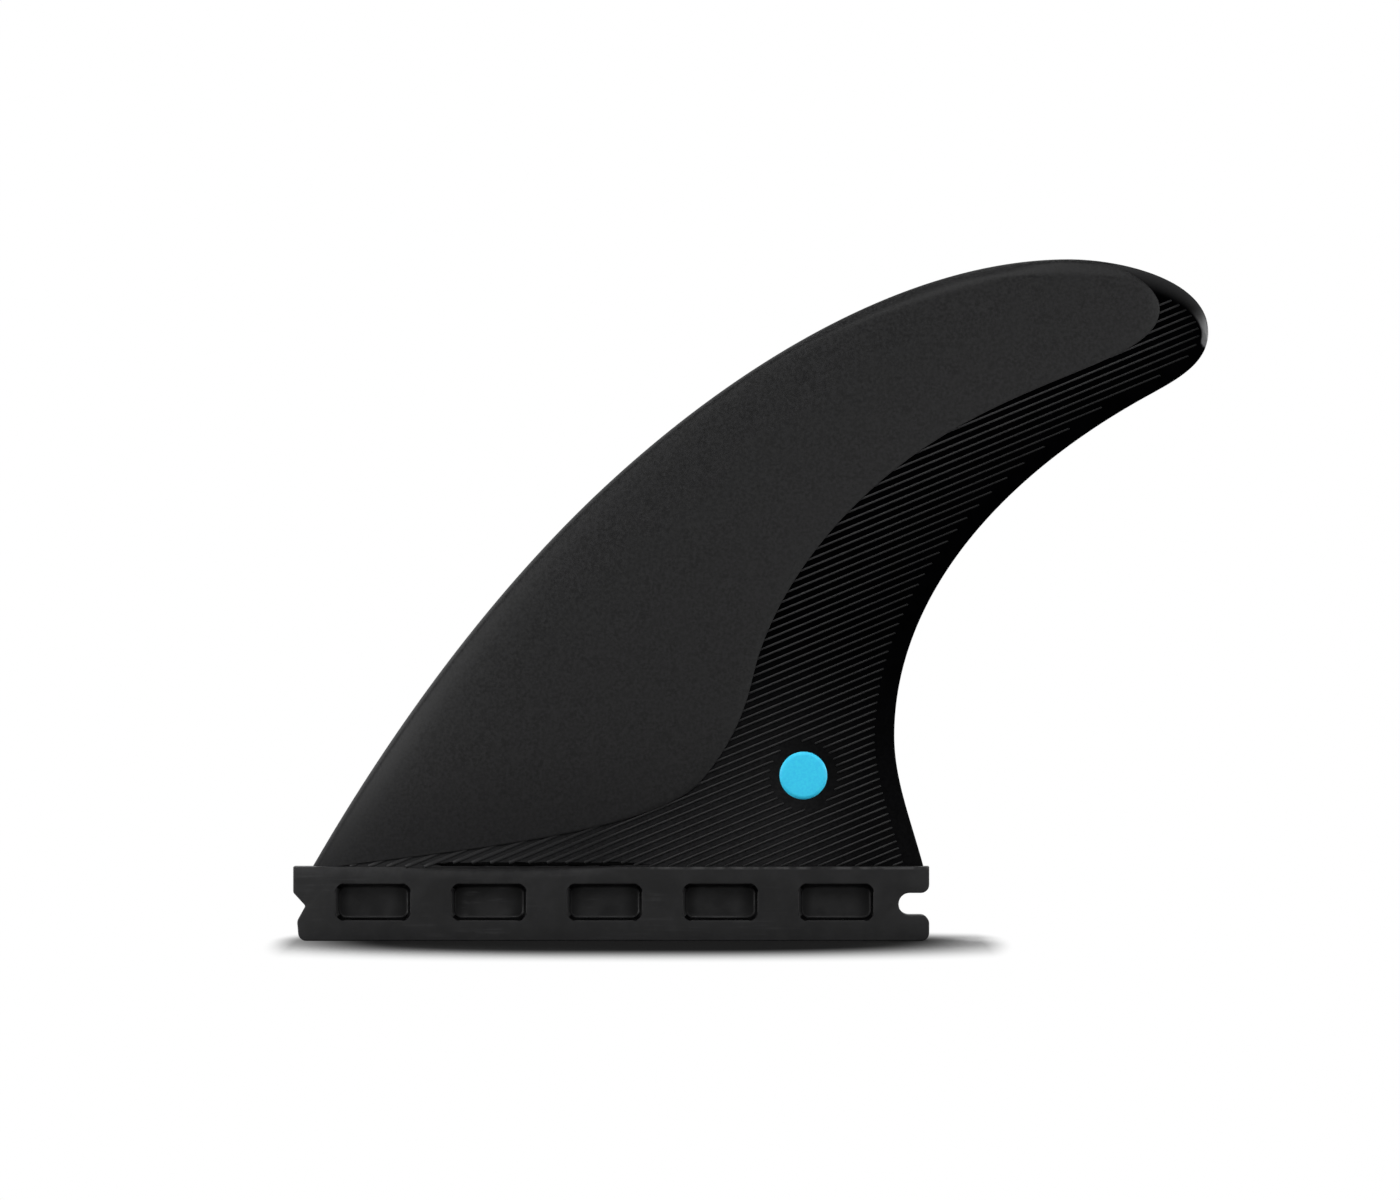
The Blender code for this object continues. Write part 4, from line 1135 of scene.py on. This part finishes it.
def floor_finish():
    """The pockets' floors and top walls: like the tab, but darker, and black near a pocket's ends, which is
    painted shade.
    """
    material, tree, shader = new_finish("pocket_floors", roughness=0.5, specular=0.16)
    grain = use_group(tree, GRAIN, Scale=1500.0, Patch_Scale=260.0)
    scuffs = use_group(tree, SCUFFS, Length=160.0, Width=900.0)
    # Painted shade turns a pocket's floor black near its ends.
    along = add_math(tree, "SUBTRACT", place_axes(tree)["X"], row_start)
    along = add_math(tree, "MODULO", along, POCKET_LENGTH + POCKET_BRIDGE)
    middle = add_math(tree, "MULTIPLY", add_ramp(tree, along, *POCKET_FRONT_END),
                      add_ramp(tree, along, *POCKET_REAR_END))
    clouded = blend_colours(tree, grain.outputs["Patches"], POCKET_DARK, POCKET_LIGHT)
    marked = blend_colours(tree, scuffs.outputs["Scuffs"], clouded, SCUFF_GREY)
    tree.links.new(blend_colours(tree, middle, PAINTED_SHADE_BLACK, marked), shader.inputs["Base Color"])
    vary_roughness(tree, shader, grain.outputs["Patches"], low=0.42, high=0.58)
    add_bump(tree, shader, grain.outputs["Height"], strength=0.4, distance=0.03 * MM)
    return material


def painted_shade_finish():
    """The pockets' other walls and the gap under the foot, black and smooth: painted shade."""
    material, tree, shader = new_finish("painted_shade_walls", roughness=0.4, specular=0.06)
    grain = use_group(tree, GRAIN, Scale=1800.0, Patch_Scale=300.0)
    black = blend_colours(tree, grain.outputs["Patches"], PAINTED_SHADE_DARK, PAINTED_SHADE_LIGHT)
    tree.links.new(black, shader.inputs["Base Color"])
    vary_roughness(tree, shader, grain.outputs["Patches"], low=0.22, high=0.34)
    add_bump(tree, shader, grain.outputs["Height"], strength=0.3, distance=0.02 * MM)
    return material


def ink_finish():
    """Flat bright ink with a faint screen-printed mottle."""
    material, tree, shader = new_finish("cyan_ink", roughness=0.5, specular=0.3)
    grain = use_group(tree, GRAIN, Scale=2200.0, Patch_Scale=400.0)
    mottled = blend_colours(tree, grain.outputs["Speckle"], INK_DEEP, INK_PALE)
    tree.links.new(mottled, shader.inputs["Base Color"])
    vary_roughness(tree, shader, grain.outputs["Patches"], low=0.42, high=0.55)
    add_bump(tree, shader, grain.outputs["Height"], strength=0.2, distance=0.01 * MM)
    return material


FINISHES = (matte_finish(), field_finish(), rib_finish(), tab_finish(), painted_shade_finish(), floor_finish())
print("finishes:", [material.name for material in FINISHES])


# %% [markdown]
# ## Join the moulding
#
# The real fin leaves its mould in one piece, so the skin, the ribs and the tab become one object,
# with a material slot for each finish. The frame's curves are made of short flats, so the fine
# curves bulge past it by a few thousandths of a millimetre, and are trimmed to its box. The piece
# rides on the frame's only body and stands for the CAD solid. The dot stays a piece of its own,
# because it is ink and not compound.

# %% Join and place
SHARP_ANGLE = 40


def as_mesh(bm, name):
    """A mesh from a bmesh, which is freed."""
    mesh = bpy.data.meshes.new(name)
    bm.to_mesh(mesh)
    bm.free()
    return mesh


def join_moulding(*pieces):
    """One object from several bmeshes, with all the finishes in its slots."""
    whole = bmesh.new()
    for piece in pieces:
        whole.from_mesh(as_mesh(piece, "part_of_fin"))
    for vert in whole.verts:
        vert.co = [min(max(value, low), high) for value, low, high in zip(vert.co, low_corner, high_corner)]
    mesh = as_mesh(whole, "moulded_fin")
    mesh.set_sharp_from_angle(angle=math.radians(SHARP_ANGLE))
    for material in FINISHES:
        mesh.materials.append(material)
    return mesh


def place_piece(mesh, name):
    """An object at the origin that rides on the fin's body."""
    piece = bpy.data.objects.new(name, mesh)
    bpy.context.scene.collection.objects.link(piece)
    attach(piece, "root")
    return piece


moulded_fin = place_piece(join_moulding(blade, ribs, tab), "moulded_fin")
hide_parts("fin")
dot_mesh = as_mesh(dot, "printed_dot")
dot_mesh.materials.append(ink_finish())
place_piece(dot_mesh, "printed_dot")
triangles = sum(len(polygon.vertices) - 2 for polygon in moulded_fin.data.polygons)
print("moulded_fin:", triangles, "triangles")

# %% [markdown]
# ## White sweep
#
# The fin stands on a white floor. Round the tab the floor is lit paper, so that it keeps the lamps'
# shadow, and an ambient occlusion node darkens the paper's colour there as painted contact shade.
# Past the edge of an oval pool of that painted shade, which reaches further in front of the tab than
# behind it, the camera sees the paper fade into plain white, like a sweep that runs up out of view.
# The world is white to the camera as well, and behind the fin to reflections, but only a dim room to
# the rest, so that the black finish stays black.

# %% Floor and world
SHADE_REACH = 0.15
SHADE_RANGE = (0.86, 1.1)
POOL_MIDDLE = (5.0 * MM, -2.0 * MM)
POOL_SIZE = (61.5 * MM, 53.5 * MM)
POOL_SHORTER_BEHIND = 2.0
POOL_FADE = (0.66, 1.66)
POOL_POWER = 3.0
POOL_END_POWER = 9.0
# The paper's colour deep in the painted shade, and its plain white.
PAPER_SHADED = (0.02, 0.02, 0.02)
PAPER_WHITE = (0.9, 0.9, 0.9)
PAPER_SIZE = 4.0
SKY_SAMPLES = 16
WHITE_BEHIND = (0.2, 0.7)
ROOM_STRENGTH = 0.12


def ray_mask(tree):
    """1 for rays from the camera, a reflection or a transparent surface."""
    rays = tree.nodes.new("ShaderNodeLightPath").outputs
    seen = add_math(tree, "MAXIMUM", rays["Is Camera Ray"], rays["Is Glossy Ray"])
    return add_math(tree, "MAXIMUM", seen, rays["Is Transmission Ray"])


def pool_distance(tree):
    """How far out a place on the floor is: 1 on the pool's oval, which ends steeply along X."""
    axes = place_axes(tree)
    along = add_math(tree, "SUBTRACT", axes["X"], POOL_MIDDLE[0])
    along = add_math(tree, "DIVIDE", add_math(tree, "ABSOLUTE", along, 0.0), POOL_SIZE[0])
    ends = add_math(tree, "POWER", add_math(tree, "MAXIMUM", along, 1.0), POOL_END_POWER)
    along = add_math(tree, "MULTIPLY", add_math(tree, "POWER", along, POOL_POWER), ends)
    ahead = add_math(tree, "SUBTRACT", POOL_MIDDLE[1], axes["Y"])
    ahead = add_math(tree, "DIVIDE", ahead, POOL_SIZE[1])
    ahead = add_math(tree, "MAXIMUM", ahead, add_math(tree, "MULTIPLY", ahead, -POOL_SHORTER_BEHIND))
    square = add_math(tree, "MULTIPLY", ahead, ahead)
    return add_math(tree, "SQRT", add_math(tree, "ADD", along, square), 0.0)


def paper_floor():
    """A large white floor that fades to plain white past an oval pool of painted shade round the tab."""
    bm = bmesh.new()
    bmesh.ops.create_grid(bm, x_segments=1, y_segments=1, size=PAPER_SIZE)
    floor = bpy.data.objects.new("paper_floor", as_mesh(bm, "paper_floor"))
    bpy.context.scene.collection.objects.link(floor)
    material, tree, shader = new_finish("white_paper", roughness=1.0, specular=0.0)
    sky = tree.nodes.new("ShaderNodeAmbientOcclusion")
    sky.samples = SKY_SAMPLES
    sky.inputs["Distance"].default_value = SHADE_REACH
    # Ambient occlusion darkens the paper's colour near the fin: a painted contact shadow.
    unshaded = add_ramp(tree, sky.outputs["AO"], *SHADE_RANGE)
    tree.links.new(blend_colours(tree, unshaded, PAPER_SHADED, PAPER_WHITE), shader.inputs["Base Color"])
    far = add_ramp(tree, pool_distance(tree), *POOL_FADE)
    glow = tree.nodes.new("ShaderNodeEmission")
    glow.inputs["Color"].default_value = (1.0, 1.0, 1.0, 1.0)
    mix = tree.nodes.new("ShaderNodeMixShader")
    tree.links.new(add_math(tree, "MULTIPLY", far, ray_mask(tree)), mix.inputs[0])
    tree.links.new(shader.outputs[0], mix.inputs[1])
    tree.links.new(glow.outputs[0], mix.inputs[2])
    tree.links.new(mix.outputs[0], tree.nodes["Material Output"].inputs["Surface"])
    floor.data.materials.append(material)


def studio_world():
    """White to the camera everywhere, white to reflections behind the fin, dim to all else."""
    world = bpy.data.worlds.new("studio")
    bpy.context.scene.world = world
    world.use_nodes = True
    tree = world.node_tree
    background = tree.nodes["Background"]
    direction = tree.nodes.new("ShaderNodeTexCoord").outputs["Generated"]
    apart = tree.nodes.new("ShaderNodeSeparateXYZ")
    tree.links.new(direction, apart.inputs[0])
    behind = add_ramp(tree, apart.outputs["Y"], *WHITE_BEHIND)
    rays = tree.nodes.new("ShaderNodeLightPath").outputs
    reflected = add_math(tree, "MAXIMUM", rays["Is Glossy Ray"], rays["Is Transmission Ray"])
    mirrored = add_math(tree, "MULTIPLY", reflected, behind)
    white = add_math(tree, "MAXIMUM", rays["Is Camera Ray"], mirrored)
    strength = add_math(tree, "MAXIMUM", white, ROOM_STRENGTH)
    background.inputs["Color"].default_value = (1.0, 1.0, 1.0, 1.0)
    tree.links.new(strength, background.inputs["Strength"])


paper_floor()
studio_world()
print("floor and world ready")


# %% [markdown]
# ## Light
#
# Six soft lamps. A wide one above and in front gives the face its level and draws a fine line of
# light along every rib. One low on the left edges the leading edge, and two more, low in front on
# both sides, fill the panel without shining in the field. One behind and above whitens the floor
# and throws the soft shadow forward, and isn't mirrored in the fin. A narrow one on the right edges
# the round of the tip.

# %% Lamps
FIN_MIDDLE = Vector((0.025, -0.004, 0.06))


def soft_lamp(name, place, size, power):
    """A rectangular soft lamp, aimed at the middle of the fin."""
    light = bpy.data.lights.new(name, "AREA")
    light.shape = "RECTANGLE"
    light.size, light.size_y = size
    light.energy = power
    lamp = bpy.data.objects.new(name, light)
    bpy.context.scene.collection.objects.link(lamp)
    lamp.location = Vector(place)
    lamp.rotation_euler = (FIN_MIDDLE - lamp.location).to_track_quat("-Z", "Y").to_euler()
    lamp.visible_camera = False
    return lamp


soft_lamp("top_front_softbox", place=(0.0, -0.75, 0.95), size=(0.9, 0.45), power=6.7)
soft_lamp("left_edge_light", place=(-1.15, -0.28, 0.2), size=(0.35, 0.6), power=7.8)
soft_lamp("left_fill", place=(-0.98, -0.82, 0.12), size=(0.3, 0.6), power=6.1)
soft_lamp("right_fill", place=(0.85, -0.85, 0.15), size=(0.4, 0.6), power=3.3)
back_top = soft_lamp("back_top_key", place=(0.05, 0.45, 0.95), size=(0.5, 0.4), power=11.0)
back_top.visible_glossy = False
soft_lamp("tip_rim_strip", place=(0.95, -0.05, 0.1), size=(0.2, 0.4), power=4.5)

# %% [markdown]
# ## Camera
#
# The picture looks square on at the outer side through a long lens. The camera stands level with
# the middle of the frame, and its distance follows from the scale: how much of the fin one picture
# point covers.

# %% Camera
IMAGE_WIDTH, IMAGE_HEIGHT = 1400, 1200
TAB_LEFT, TAB_RIGHT, TAB_FOOT = 293.1, 929.3, 941.0
METRES_PER_POINT = TAB_LENGTH / (TAB_RIGHT - TAB_LEFT)
LENS, SENSOR = 200.0, 36.0


def square_on_camera():
    """A long-lens camera that frames the fin as in the picture."""
    camera = bpy.data.objects.new("camera", bpy.data.cameras.new("camera"))
    bpy.context.scene.collection.objects.link(camera)
    camera.data.lens = LENS
    camera.data.sensor_width = SENSOR
    camera.data.clip_start = 0.05
    camera.data.clip_end = 20.0
    distance = METRES_PER_POINT * IMAGE_WIDTH * LENS / SENSOR
    x = (IMAGE_WIDTH / 2 - (TAB_LEFT + TAB_RIGHT) / 2) * METRES_PER_POINT
    z = (TAB_FOOT - IMAGE_HEIGHT / 2) * METRES_PER_POINT
    camera.location = (x, -distance - TAB_THICKNESS / 2, z)
    camera.rotation_euler = (math.pi / 2, 0.0, 0.0)
    bpy.context.scene.camera = camera
    bpy.context.scene.view_settings.view_transform = "Standard"
    return distance


print("camera distance in m:", round(square_on_camera(), 3))
